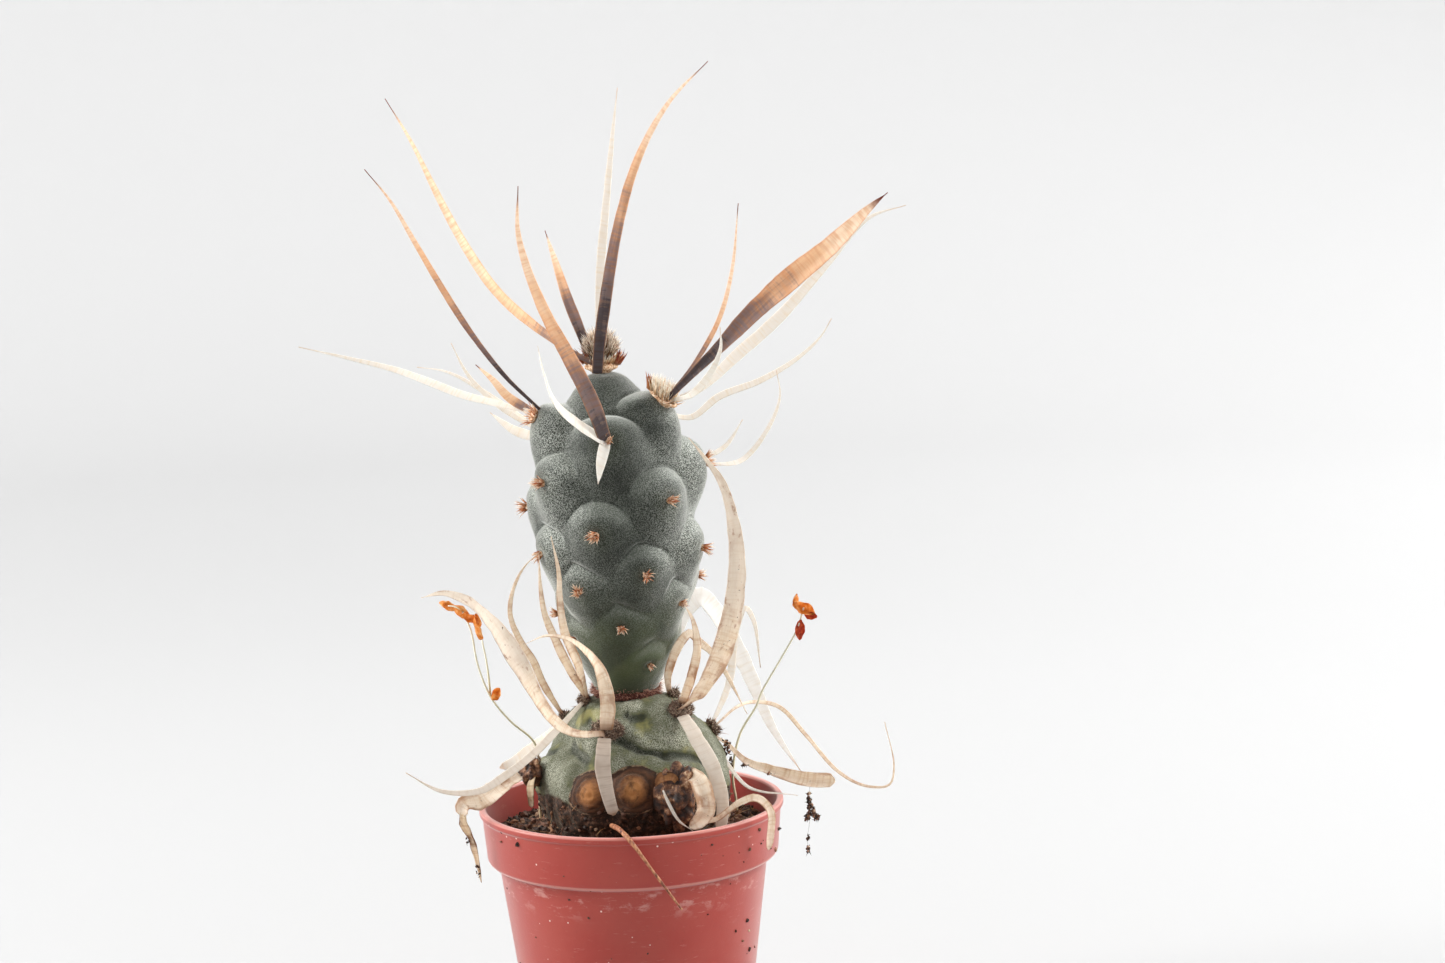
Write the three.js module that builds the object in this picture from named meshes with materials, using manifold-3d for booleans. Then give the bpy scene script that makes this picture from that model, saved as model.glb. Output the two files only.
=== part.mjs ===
// Potted paper spine cactus: a young stem joint growing on an old one, with flat papery spines,
// standing in the soil of a small round nursery pot.
// Millimetres, +Z up. The origin is the centre of the pot's underside, and the front looks along -Y.
import * as THREE from 'three';
import { mergeVertices } from 'three/addons/utils/BufferGeometryUtils.js';
import Module from 'manifold-3d';

const wasm = await Module();
wasm.setup();

// Driving dimensions
const POT_HEIGHT = 50;
const RIM_RADIUS = 27.5;
const BASE_RADIUS = 19;
const POT_WALL = 0.9;
const POT_FLOOR = 1;
const RIM_WALL = 1.3;
const RIM_BAND = 1;
const COLLAR_FOOT = 40;
const COLLAR_STEP = 0.4;
const CONE_TOP_RADIUS = 24.3;
const COLLAR_RADIUS = 26.3;
const COLLAR_TOP_RADIUS = 27;
const DRAIN_HOLES = 6;
const DRAIN_RADIUS = 2.5;
const DRAIN_CIRCLE = 12.5;
const SOIL_EDGE = 44.6;
const SOIL_RADIUS = 25.35;
const SOIL_MOUND = 1.6;
const SOIL_GAP = 0.35;
const GAP = 0.3;
const AREOLE_COUNT = 30;
const GOLDEN_TURN = 137.5;
const FIRST_AREOLE_TURN = 60;
const FIRST_AREOLE_HEIGHT = 123.2;
const AREOLE_SPACING = 2.12;
const TUBERCLE_WIDTH = 8.4;
const TUBERCLE_RISE = 2.7;
const REACH_UP = 0.85;
const REACH_DOWN = 1.25;
const RIBBON_THICKNESS = 0.65;
const THINNEST = 0.6;
const YOUNG_FOOT = 69.8;
const CROWN_HEIGHT = 128;
const BRISTLE_RADIUS = 0.4;
const WEED_RADIUS = 0.35;
const WEED_TIP_RADIUS = 0.3;

// Rows and columns of faces over each joint and round the pot and the soil
const YOUNG_GRID = [40, 42];
const OLD_GRID = [24, 34];
const POT_SIDES = 44;
const SOIL_COLUMNS = 24;

const COLOURS = {
  pot: 0xb5473c,
  soil: 0x2b211d,
  stem: 0x5c6e62,
  oldStem: 0x6a7560,
  amber: 0xb98656,
  cream: 0xe4d6bf,
  beige: 0xcbb796,
  brown: 0x7a4a33,
  weed: 0xb0662e,
};

const radians = THREE.MathUtils.degToRad;

// A repeatable random number between 0 and 1, from a seed.
function seededRandom(seed) {
  let state = seed;
  return () => {
    state = (state + 0x6d2b79f5) | 0;
    let mixed = Math.imul(state ^ (state >>> 15), 1 | state);
    mixed = (mixed + Math.imul(mixed ^ (mixed >>> 7), 61 | mixed)) ^ mixed;
    return ((mixed ^ (mixed >>> 14)) >>> 0) / 4294967296;
  };
}

function solidOf(geometry) {
  const bare = geometry.clone();
  bare.deleteAttribute('normal');
  bare.deleteAttribute('uv');
  const merged = mergeVertices(bare, 1e-5);
  return new wasm.Manifold(new wasm.Mesh({
    numProp: 3,
    vertProperties: new Float32Array(merged.attributes.position.array),
    triVerts: new Uint32Array(merged.index.array),
  }));
}

function geometryOf(solid) {
  const mesh = solid.getMesh();
  const geometry = new THREE.BufferGeometry();
  geometry.setAttribute('position', new THREE.BufferAttribute(mesh.vertProperties, 3));
  geometry.setIndex(new THREE.BufferAttribute(mesh.triVerts, 1));
  geometry.computeVertexNormals();
  return geometry;
}

function joined(solids) {
  return solids.reduce((whole, solid) => whole.add(solid));
}

// The biggest body of a solid, so that no loose scrap of a cut is left.
function mainBody(solid) {
  return solid.decompose().reduce((best, body) => (body.volume() > best.volume() ? body : best));
}

// A closed skin over rings of points that run round +Z from the bottom up, with a point closing each end.
function skinGeometry(rings, bottom, top) {
  const columns = rings[0].length;
  const points = [bottom, ...rings.flat(), top];
  const last = points.length - 1;
  const at = (ring, step) => 1 + ring * columns + (step % columns);
  const faces = [];
  for (let step = 0; step < columns; step++) {
    faces.push(0, at(0, step + 1), at(0, step));
    faces.push(last, at(rings.length - 1, step), at(rings.length - 1, step + 1));
    for (let ring = 0; ring < rings.length - 1; ring++) {
      faces.push(at(ring, step), at(ring, step + 1), at(ring + 1, step + 1));
      faces.push(at(ring, step), at(ring + 1, step + 1), at(ring + 1, step));
    }
  }
  const geometry = new THREE.BufferGeometry().setFromPoints(points);
  geometry.setIndex(faces);
  return geometry;
}

// Turns are degrees round the plant: 0 faces the front and 90 is to the right.
function around(turn, radius) {
  const angle = radians(turn);
  return new THREE.Vector2(radius * Math.sin(angle), -radius * Math.cos(angle));
}

// The shortest way from one turn to another, in degrees.
function turnBetween(from, to) {
  return THREE.MathUtils.euclideanModulo(to - from + 180, 360) - 180;
}

// A stem joint: a round profile on a leaning axis, with a dome for each tubercle.
class StemJoint {
  constructor({ profile, axis, tubercles, floor }) {
    this.profile = new THREE.SplineCurve(profile.map((point) => new THREE.Vector2(...point)));
    this.profile.arcLengthDivisions = 600;
    this.axis = axis;
    this.floor = floor;
    this.tubercles = tubercles.map((bump) => ({ ...bump, along: this.alongAt(bump.height) }));
  }

  // How far up its profile the joint reaches a height, as a share of the profile's length.
  alongAt(height) {
    let low = 0;
    let high = 1;
    for (let step = 0; step < 30; step++) {
      const middle = (low + high) / 2;
      if (this.profile.getPointAt(middle).y < height) low = middle;
      else high = middle;
    }
    return low;
  }

  // Height of the relief: the tallest dome at that place, each falling off with the square of the distance,
  // quickly above its areole and slowly below it, so that a crease arches over every tubercle.
  relief(along, turn, radius) {
    const length = this.profile.getLength();
    let tallest = this.floor;
    for (const bump of this.tubercles) {
      const across = (radius * radians(turnBetween(bump.turn, turn))) / bump.width;
      const rise = (along - bump.along) * length;
      const up = rise / (bump.width * (rise > 0 ? REACH_UP : REACH_DOWN));
      tallest = Math.max(tallest, bump.rise * (1 - across * across - up * up));
    }
    return tallest;
  }

  point(along, turn, lift = 0) {
    const centre = this.profile.getPointAt(along);
    const tangent = this.profile.getTangentAt(along);
    const out = this.relief(along, turn, centre.x) + lift;
    const flat = around(turn, Math.max(centre.x + out * tangent.y, 0.05));
    const height = centre.y - out * tangent.x;
    return new THREE.Vector3(flat.x + this.axis(height), flat.y, height);
  }

  // The place of an areole, and the way that its spines point.
  areole(turn, height) {
    const along = this.alongAt(height);
    const place = this.point(along, turn);
    const tangent = this.profile.getTangentAt(along);
    const flat = around(turn, tangent.y);
    return { place, out: new THREE.Vector3(flat.x, flat.y, -tangent.x).normalize() };
  }

  // The joint's skin as a solid, moved out by a lift. A lifted one is the room that a neighbour is cut by.
  solid([rows, columns], lift = 0) {
    const rings = [];
    for (let row = 1; row < rows; row++) {
      const ring = [];
      for (let column = 0; column < columns; column++) {
        ring.push(this.point(row / rows, (360 * column) / columns, lift));
      }
      rings.push(ring);
    }
    const bottom = this.profile.getPointAt(0);
    const top = this.profile.getPointAt(1);
    return solidOf(skinGeometry(
      rings,
      new THREE.Vector3(this.axis(bottom.y), 0, bottom.y - lift),
      new THREE.Vector3(this.axis(top.y), 0, top.y + this.relief(1, 0, 0) + lift),
    ));
  }
}

// Ways in which this plant's areoles leave the golden-turn rule: number, degrees round, mm up, mm proud.
const AREOLE_SHIFTS = [
  [0, 5, -1.9, 0.6], [1, 0, -0.8, 0], [3, -8, 0, 0], [5, 5, -2.4, 1.5], [6, -8, -1.5, 0], [8, 0, -1, 0],
  [9, 5, -1.3, 0.2], [11, 0, -0.7, 0], [13, 5, -2, 0.3], [18, 0, 0, 0.6], [19, 0, 1.5, 0],
  [21, 8, 0.7, 0], [24, 0, 1.5, 0], [27, -3, 2.5, 0],
];

// Turn, height, half width and rise of each areole's tubercle on the young joint, from the top down. Each
// stands one golden turn on from the last, and lower, closer, smaller and flatter the further down it is.
function youngAreoles() {
  const shifts = new Map(AREOLE_SHIFTS.map(([number, ...shift]) => [number, shift]));
  return Array.from({ length: AREOLE_COUNT }, (_, number) => {
    const [turn, up, proud] = shifts.get(number) ?? [0, 0, 0];
    return {
      turn: FIRST_AREOLE_TURN - GOLDEN_TURN * number + turn,
      height: FIRST_AREOLE_HEIGHT - AREOLE_SPACING * number * (1 - number / 120) + up,
      width: TUBERCLE_WIDTH * (1 - number / 80),
      rise: TUBERCLE_RISE * (1 - number / 49) + proud,
    };
  });
}

function youngJoint() {
  return new StemJoint({
    profile: [
      [0, YOUNG_FOOT], [4.6, YOUNG_FOOT], [5.3, 71], [6.9, 74.5], [8.8, 78.5], [10.1, 82.5],
      [11.2, 87], [12.4, 92], [13.2, 97], [13.5, 102], [13.4, 107], [12.8, 112], [11.7, 116],
      [10.2, 119.4], [8.2, 122], [5.8, 124.6], [3.2, 126.8], [0, CROWN_HEIGHT - 0.4],
    ],
    axis: (height) => -0.1 - 0.0005 * (height - 70) ** 2,
    tubercles: youngAreoles(),
    floor: -0.1,
  });
}

// Swellings of the old joint: turn, height, half width and rise. The last three are corky ovals.
const OLD_SWELLINGS = [
  [-19, 65, 8, 1.4], [57, 66.5, 8, 1.6], [-76, 68.2, 5, 0.9], [101, 60.8, 8, 2.2], [-85, 56.5, 8, 1.8],
  [-107, 63.6, 6.5, 2.2], [150, 64, 8, 1.5], [-160, 59, 8, 1.6], [28, 57.5, 8, 1.6], [-140, 52, 8, 1.4],
  [72, 53, 8, 1.5], [128, 53, 8, 1.4], [175, 50, 8, 1.3], [-46, 54, 7.5, 1.4],
  [-22, 53, 3.6, 2.2], [9, 53.5, 3.8, 2.3], [40, 51.5, 3.6, 2.2],
];

function oldJoint() {
  return new StemJoint({
    profile: [
      [0, 30], [3.6, 34], [8.6, 39], [13, 43.5], [15.4, 48], [16, 52.5], [15.2, 57], [13.4, 60],
      [11.2, 63], [9.6, 66], [7.4, 68.4], [5.2, 69.4], [0, 69.5],
    ],
    axis: () => 0.6,
    tubercles: OLD_SWELLINGS.map(([turn, height, width, rise]) => ({ turn, height, width, rise })),
    floor: 0,
  });
}

// A papery spine: a thin flat strip along a smooth curve. It is narrow at its root, widest at its belly
// and runs out to a point, and its broad side turns evenly from one direction to another.
function ribbon({
  route, width, belly = 0.35, root = 0.5, tip = 0, face = [0, -1, 0.2], tipFace = face, steps = 11,
}) {
  const curve = new THREE.CatmullRomCurve3(route.map((point) => new THREE.Vector3(...point)));
  const rootNormal = new THREE.Vector3(...face);
  const tipNormal = new THREE.Vector3(...tipFace);
  const rings = [];
  for (let step = 0; step <= steps; step++) {
    const share = step / steps;
    const centre = curve.getPointAt(share);
    const tangent = curve.getTangentAt(share);
    const normal = rootNormal.clone().lerp(tipNormal, share).projectOnPlane(tangent).normalize();
    const side = normal.clone().cross(tangent);
    const half = ribbonWidth({ share, width, belly, root, tip }) / 2;
    const thick = RIBBON_THICKNESS / 2;
    rings.push([[-half, -thick], [half, -thick], [half, thick], [-half, thick]].map(([across, out]) => (
      centre.clone().addScaledVector(side, across).addScaledVector(normal, out)
    )));
  }
  return solidOf(stripGeometry(rings));
}

// The width grows from its root share to the full width at the belly, then thins to its tip share.
function ribbonWidth({ share, width, belly, root, tip }) {
  const growth = THREE.MathUtils.lerp(root, 1, THREE.MathUtils.smoothstep(share, 0, belly));
  const taper = THREE.MathUtils.lerp(1, tip, Math.max((share - belly) / (1 - belly), 0) ** 1.8);
  return Math.max(width * growth * taper, THINNEST);
}

// A closed skin over sections that each run the same way round a curve, with a flat end at both ends.
// The third side is cut along its other diagonal, so that both broad faces of a ribbon fold alike.
function stripGeometry(rings) {
  const sides = rings[0].length;
  const faces = [];
  for (let ring = 0; ring < rings.length - 1; ring++) {
    for (let side = 0; side < sides; side++) {
      const [here, next] = [ring * sides + side, ring * sides + ((side + 1) % sides)];
      const turned = side === 2;
      if (turned) faces.push(here, next, here + sides, next, next + sides, here + sides);
      else faces.push(here, next, next + sides, here, next + sides, here + sides);
    }
  }
  const last = (rings.length - 1) * sides;
  for (let side = 1; side < sides - 1; side++) {
    faces.push(0, side + 1, side, last, last + side, last + side + 1);
  }
  const geometry = new THREE.BufferGeometry().setFromPoints(rings.flat());
  geometry.setIndex(faces);
  return geometry;
}

// A round stalk of one thickness, or a needle that thins to its tip.
function stalk(route, radius, tipRadius = radius, steps = 12) {
  const sides = 5;
  const curve = new THREE.CatmullRomCurve3(route.map((point) => new THREE.Vector3(...point)));
  const frames = curve.computeFrenetFrames(steps);
  const rings = [];
  for (let step = 0; step <= steps; step++) {
    const centre = curve.getPointAt(step / steps);
    const size = THREE.MathUtils.lerp(radius, tipRadius, step / steps);
    rings.push(Array.from({ length: sides }, (_, side) => {
      const angle = (2 * Math.PI * side) / sides;
      return centre.clone()
        .addScaledVector(frames.normals[step], size * Math.cos(angle))
        .addScaledVector(frames.binormals[step], size * Math.sin(angle));
    }));
  }
  return solidOf(stripGeometry(rings));
}

// A three-sided bristle that stands on a point.
function bristle(place, direction, length, radius = BRISTLE_RADIUS) {
  const cone = new THREE.ConeGeometry(radius, length, 3);
  cone.translate(0, length / 2, 0);
  cone.applyQuaternion(new THREE.Quaternion().setFromUnitVectors(new THREE.Vector3(0, 1, 0), direction));
  cone.translate(place.x, place.y, place.z);
  return solidOf(cone);
}

// A rounded cushion of felt, or a pod, pressed flat along one direction.
function cushion(place, direction, radius, flatness, sides = 8, layers = 5) {
  const ball = new THREE.SphereGeometry(radius, sides, layers);
  ball.scale(1, flatness, 1);
  ball.applyQuaternion(new THREE.Quaternion().setFromUnitVectors(new THREE.Vector3(0, 1, 0), direction));
  ball.translate(place.x, place.y, place.z);
  return solidOf(ball);
}

// Directions that lean away from a main one by up to a spread, drawn evenly round it.
function leaning(direction, count, spread, random) {
  const side = new THREE.Vector3(0.3, 0.2, 1).projectOnPlane(direction).normalize();
  return Array.from({ length: count }, (_, number) => {
    const turn = (2 * Math.PI * (number + random() * 0.6)) / count;
    const away = side.clone().applyAxisAngle(direction, turn);
    return direction.clone().addScaledVector(away, spread * (0.5 + random() * 0.5)).normalize();
  });
}

// An areole's tuft of short barbed bristles on a speck of felt, sunk in the stem.
function tuft({ place, out }, size, random) {
  const root = place.clone().addScaledVector(out, -0.5);
  const felt = cushion(place.clone().addScaledVector(out, -0.2), out, 1.1 * size, 0.7, 5, 2);
  const bristles = leaning(out, 3, 0.7, random).map((way) => (
    bristle(root, way, (1.9 + random() * 0.8) * size)
  ));
  return joined([felt, ...bristles]);
}

function youngStem() {
  const random = seededRandom(7);
  const tufts = youngAreoles().slice(6).map((areole, number) => (
    tuft(young.areole(areole.turn, areole.height), 1.05 - 0.015 * number, random)
  ));
  const collar = Array.from({ length: 12 }, (_, number) => {
    const flat = around(30 * number + 12 * random(), 1);
    const root = new THREE.Vector3(flat.x * 4.4 + young.axis(71), flat.y * 4.4, 71);
    return bristle(root, new THREE.Vector3(flat.x, flat.y, 0.35).normalize(), 2.2);
  });
  return mainBody(joined([young.solid(YOUNG_GRID), ...tufts, ...collar]));
}

// A spray of spines from one or more areoles, cut clear of the stem that it sits on.
function spray({ areoles, ribbons, pad, flatness = 0.6, bristles = 5, extras = [], seed }) {
  const random = seededRandom(seed);
  const pads = areoles.flatMap(({ place, out }) => [
    cushion(place, out, pad, flatness),
    ...leaning(out, bristles, 0.8, random).map((way) => bristle(place, way, pad * (1.1 + 0.5 * random()))),
  ]);
  const whole = joined([...pads, ...ribbons.map(ribbon), ...extras]);
  return mainBody(whole.subtract(youngRoom).subtract(oldRoom));
}

// A dead sheath: a crumpled lump of dry skin, its surface pushed in and out by three waves.
function driedLump(place, size, phase) {
  const ball = new THREE.SphereGeometry(1, 10, 7);
  const position = ball.attributes.position;
  const point = new THREE.Vector3();
  for (let number = 0; number < position.count; number++) {
    point.fromBufferAttribute(position, number);
    const crumple = 1 + 0.12 * Math.sin(5 * point.x + phase) * Math.cos(4 * point.z - phase)
      + 0.08 * Math.sin(7 * point.y + 2 * point.z);
    point.multiplyScalar(crumple).multiply(new THREE.Vector3(...size));
    position.setXYZ(number, point.x + place[0], point.y + place[1], point.z + place[2]);
  }
  return solidOf(ball);
}

const young = youngJoint();
const old = oldJoint();
const youngRoom = young.solid(YOUNG_GRID, GAP);
const oldRoom = old.solid(OLD_GRID, GAP);
const numbered = (number) => {
  const areole = youngAreoles()[number];
  return young.areole(areole.turn, areole.height);
};

function crown() {
  const top = { place: new THREE.Vector3(-1.8, 0, CROWN_HEIGHT + 1.6), out: new THREE.Vector3(0, 0, 1) };
  return spray({
    areoles: [top],
    pad: 3.9,
    flatness: 0.95,
    bristles: 11,
    seed: 11,
    ribbons: [
      { route: [[-2.5, -2, 129], [-0.5, -5, 139.5], [2, -5, 152], [6, -3, 165], [11.5, 1, 175],
        [18.5, 6, 182]], width: 2.3, belly: 0.4, root: 0.8, face: [0.3, -1, 0.1] },
      { route: [[-3, 2, 130], [-2, 6, 145.5], [-0.5, 9, 158], [1, 14, 170], [2, 18, 177.5]],
        width: 1.6, face: [0.2, -1, 0.3] },
      { route: [[-4, 0.5, 130], [-5.2, 1, 133.8], [-7.8, 2, 141], [-9.8, 4, 147.5], [-11.6, 7, 153]],
        width: 2, root: 0.8, face: [-0.2, -1, 0.2] },
      { route: [[-3, -2, 129.5], [-8.5, -2.5, 133], [-20, 5, 142], [-26, 9, 150.5], [-30.5, 12, 159],
        [-35.5, 15, 169.5], [-40, 18, 177]], width: 2, belly: 0.3, face: [-0.3, -1, -0.2] },
    ],
  });
}

function frontUpperSpines() {
  return spray({
    areoles: [numbered(3)],
    pad: 1.9,
    seed: 12,
    ribbons: [
      { route: [[-1.6, -14, 117.8], [-3.7, -19, 125.5], [-6.8, -22, 133], [-10.5, -24, 141],
        [-13.3, -25, 149], [-14.6, -25, 155.5], [-14.3, -24, 163]], width: 3.2, belly: 0.2, root: 0.7,
        face: [0.2, -1, 0.5], tipFace: [0, -1, 0] },
      { route: [[-1.8, -14, 117.6], [-5.8, -18, 121], [-9.5, -23, 125.5], [-11, -29, 131.5],
        [-11.5, -36, 137]], width: 2.4, face: [0.3, -0.7, 1], tipFace: [0.6, -0.5, 1] },
      { route: [[-1.6, -14, 117.4], [-2.4, -18, 114.5], [-2.9, -22, 111.3]], width: 2.3, belly: 0.5,
        face: [0, -0.6, -1], steps: 6 },
    ],
  });
}

function rightShoulderSpines() {
  return spray({
    areoles: [numbered(0)],
    pad: 2.8,
    flatness: 0.9,
    bristles: 8,
    seed: 13,
    ribbons: [
      { route: [[9.7, -5.5, 124], [15, -8, 129], [19, -9, 133], [24.5, -10, 138.5], [31.5, -11, 144.5],
        [38.5, -12, 150], [45.5, -13, 156.5], [48.7, -13, 159]], width: 4.2, belly: 0.6, root: 0.25,
        face: [0.1, -1, 0.3] },
      { route: [[10, -4, 124], [15, -3, 130], [19, -2, 137], [21.5, 0, 145.5], [23, 2, 157]],
        width: 1.3, face: [0, -1, 0.3] },
      { route: [[10, -4.5, 123.5], [15, -2, 125], [21.5, 4, 129.5], [30, 10, 136], [38.5, 14, 144.5],
        [46.5, 16, 152.5], [53.5, 18, 154.5]], width: 2.2, face: [0.2, -1, 0.6] },
      { route: [[10.5, -6, 123.5], [13.5, -8.5, 124.5], [17.5, -13, 129.5], [19, -15, 133.5], [19, -16, 137]],
        width: 1.4, face: [0.3, -1, 0.3] },
    ],
  });
}

function leftShoulderSpines() {
  return spray({
    areoles: [numbered(1)],
    pad: 2,
    seed: 14,
    ribbons: [
      { route: [[-13, -3, 121.8], [-19, -8, 129], [-24.5, -12, 137.5], [-29, -15, 146], [-33, -17, 154],
        [-36.5, -19, 161], [-40.5, -20, 166.5]], width: 1.7, face: [-0.3, -1, 0.2] },
      { route: [[-13, -2, 121], [-20.5, 3, 122.5], [-28, 8, 124], [-34, 12, 126], [-40.5, 16, 128],
        [-48.5, 18, 130], [-58, 18, 132.5]], width: 1.5, face: [-0.2, -1, 0.6] },
      { route: [[-13, -1, 120.5], [-19, 2, 123.8], [-22, 4, 127], [-25, 6, 129.5]], width: 1.8,
        face: [0.3, -1, 0.4], steps: 7 },
    ],
  });
}

function backUpperSpines() {
  return spray({
    areoles: [numbered(2)],
    pad: 1.9,
    seed: 15,
    ribbons: [
      { route: [[7, 11, 120], [13, 14.5, 117.5], [18.5, 16, 121], [26, 17, 123.5], [33.5, 19, 127.5],
        [37.5, 20, 131], [39.5, 21, 134]], width: 1.4, face: [0, -1, 0.5] },
    ],
  });
}

function rightEdgeSpines() {
  return spray({
    areoles: [numbered(5)],
    pad: 1.6,
    seed: 16,
    ribbons: [
      { route: [[14.5, 1.5, 111], [17.5, 2.5, 110.5], [22.5, 8, 110.5], [27.5, 12, 116], [29.5, 14, 121],
        [29, 15, 125.5]], width: 1, face: [0, -1, 0.5] },
      { route: [[14.5, 1.5, 111.2], [19.5, 6, 113.5], [22.5, 9, 117.5]], width: 0.9, steps: 6 },
    ],
  });
}

function backLeftSpines() {
  return spray({
    areoles: [numbered(4)],
    pad: 1.9,
    seed: 17,
    ribbons: [
      { route: [[-13, 9.5, 116], [-21.5, 13, 121], [-27, 15, 126.5], [-30, 16, 132.5]], width: 1.1 },
      { route: [[-13, 9.5, 115.5], [-21.5, 17.5, 121], [-31, 21, 126.5], [-37, 23, 127.5]], width: 1,
        face: [0, -1, 0.5] },
      { route: [[-13, 9.5, 115], [-19, 13, 116.5], [-23.5, 16, 119.5]], width: 1.8, steps: 7 },
    ],
  });
}

function neckLeftSpines() {
  return spray({
    areoles: [old.areole(-76, 68.2)],
    pad: 1.6,
    seed: 21,
    ribbons: [
      { route: [[-7.3, -2.5, 69.8], [-9.5, -9, 76], [-11.5, -12, 81.5], [-13.5, -13.5, 87.5],
        [-14, -14, 92.5], [-14, -14.5, 98]], width: 1.6, face: [0.4, -1, 0] },
      { route: [[-7, -3, 69.8], [-8, -12, 77.5], [-10, -16, 84.5], [-10.5, -18, 90.5], [-10.5, -18, 95.5],
        [-11.5, -19, 102]], width: 1.7, face: [0.6, -1, 0.4], tipFace: [0.2, -1, 0] },
      { route: [[-7.5, -3, 69.5], [-12.5, -10, 65.5], [-17, -14, 62], [-21.5, -18, 59.5], [-26, -20, 57.5],
        [-32.5, -21, 58], [-38.5, -21, 61.5]], width: 1.7, face: [-0.3, -1, 0.6] },
    ],
  });
}

function neckRightSpine() {
  return spray({
    areoles: [old.areole(80, 68.6)],
    pad: 1.3,
    bristles: 5,
    seed: 22,
    ribbons: [
      { route: [[7.6, -1.2, 69.6], [7.6, -4, 74], [9.5, -5.5, 79], [11.5, -5, 81.3], [13.5, -2, 79],
        [15.5, 1, 76.5], [17.5, 3, 73], [19.5, 4.5, 68.5], [21.5, 5.5, 64]], width: 1.7, belly: 0.2,
        face: [0.4, -1, 0] },
    ],
  });
}

function lowerRightSpines() {
  return spray({
    areoles: [old.areole(57, 66.5)],
    pad: 2.3,
    bristles: 7,
    seed: 23,
    ribbons: [
      { route: [[10, -7, 68.3], [13, -13, 72], [17, -17, 79.5], [19.5, -19, 88], [20.5, -21, 96],
        [20, -23, 104.5], [18.5, -25, 111], [15.5, -26, 116], [13, -27, 119.5]], width: 3.6, belly: 0.3,
        face: [0.5, -1, 0.2], tipFace: [-0.2, -1, 0.3], steps: 14 },
      { route: [[10, -6.5, 69], [12, -9, 75], [13, -9.5, 79.5], [12.4, -9.5, 84.5], [11, -10, 87.5]],
        width: 1.8, face: [0.2, -1, 0.2] },
      { route: [[10, -8, 67], [13, -14, 63], [15, -16.5, 59.5], [16.5, -16.5, 53.5], [16, -16.5, 47.5]],
        width: 2.9, belly: 0.4, root: 0.8, tip: 0.6, face: [0.3, -1, 0.5], tipFace: [-0.2, -1, 0] },
    ],
  });
}

function lowerBackSpine() {
  return spray({
    areoles: [old.areole(150, 64)],
    pad: 2,
    seed: 24,
    ribbons: [
      { route: [[6.2, 10.5, 65.5], [7.5, 17, 73.5], [10.5, 19, 81], [13.5, 20, 83.2], [16.5, 21, 80],
        [22, 22, 68.5], [26, 22, 58], [31.5, 20, 49]], width: 3.7, belly: 0.35, face: [0.3, -1, 0.3],
        steps: 14 },
    ],
  });
}

function lowerFrontSpines() {
  return spray({
    areoles: [old.areole(-19, 65)],
    pad: 2.4,
    bristles: 7,
    seed: 25,
    ribbons: [
      { route: [[-3.5, -12.5, 66], [-3, -15.5, 72], [-4, -19, 78], [-6.5, -22, 82.5], [-9.5, -24, 85],
        [-13, -24, 85.5], [-16.5, -23, 84]], width: 2.6, belly: 0.2, face: [0, -1, 0.2],
        tipFace: [0, -0.6, 1] },
      { route: [[-4, -12.5, 65.3], [-9.5, -18, 67], [-13, -20, 70.5], [-16, -22, 76.5], [-19, -24, 83],
        [-22.5, -26, 89], [-25.5, -28, 92.5], [-29.5, -29, 94.5], [-33.5, -30, 94]], width: 3.7, belly: 0.45,
        face: [0.5, -1, 0.8], tipFace: [0, -0.8, 1], steps: 14 },
      { route: [[-3.8, -12, 65], [-4.2, -18.5, 60], [-3.2, -19.3, 54.5], [-2.5, -19.5, 52.6]], width: 2.5,
        root: 0.8, tip: 0.6, face: [0, -1, 0.3], steps: 8 },
    ],
  });
}

function farRightSpines() {
  return spray({
    areoles: [old.areole(101, 60.8)],
    pad: 1.9,
    bristles: 10,
    seed: 26,
    ribbons: [
      { route: [[15, 3, 62], [20, 10, 64.5], [23, 13, 64.5], [27.5, 15, 63], [32.5, 16, 57], [38, 17, 50],
        [43, 17, 47], [47.5, 17, 47], [48.5, 17, 50.5], [47, 17, 59]], width: 1, face: [0, -1, 0.3],
        steps: 16 },
      { route: [[15, 3, 61], [17.5, 4, 59], [21, 4, 55.5], [24.5, 4, 54], [28.5, 3, 52.8], [32.5, 2, 52],
        [37, 1, 52]], width: 2.2, belly: 0.8, tip: 0.7, face: [0.1, -0.6, 1] },
      { route: [[15, 4, 62.5], [18.5, 11, 69], [20, 13, 78], [21.8, 14, 82], [23.3, 15, 79.5],
        [24.3, 15, 70.5]], width: 1.5, face: [0.2, -1, 0] },
      { route: [[15.5, 2, 60.5], [18, 0, 55.5], [21, -2, 52.3], [24, -4, 51.6], [27, -5, 51.5],
        [30, -6, 51.3]], width: 1, face: [0, -0.5, 1] },
    ],
  });
}

function farLeftSpines() {
  return spray({
    areoles: [old.areole(-107, 63.6)],
    pad: 1.7,
    seed: 27,
    ribbons: [
      { route: [[-12, 3.5, 65.5], [-15, 0, 72], [-16.5, -3, 77], [-18.5, -5, 81], [-20, -6, 86],
        [-19.3, -7, 90.5], [-17, -9, 95], [-14, -11, 98]], width: 1.4, belly: 0.2, face: [0.3, -1, 0] },
      { route: [[-12, 4.5, 64], [-15.8, 11, 59.5], [-19, 13, 56.5], [-22, 14, 54.5], [-24.5, 14, 53.5]],
        width: 2.4, belly: 0.7, tip: 0.5, face: [0, -1, 0.6] },
    ],
  });
}

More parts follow.
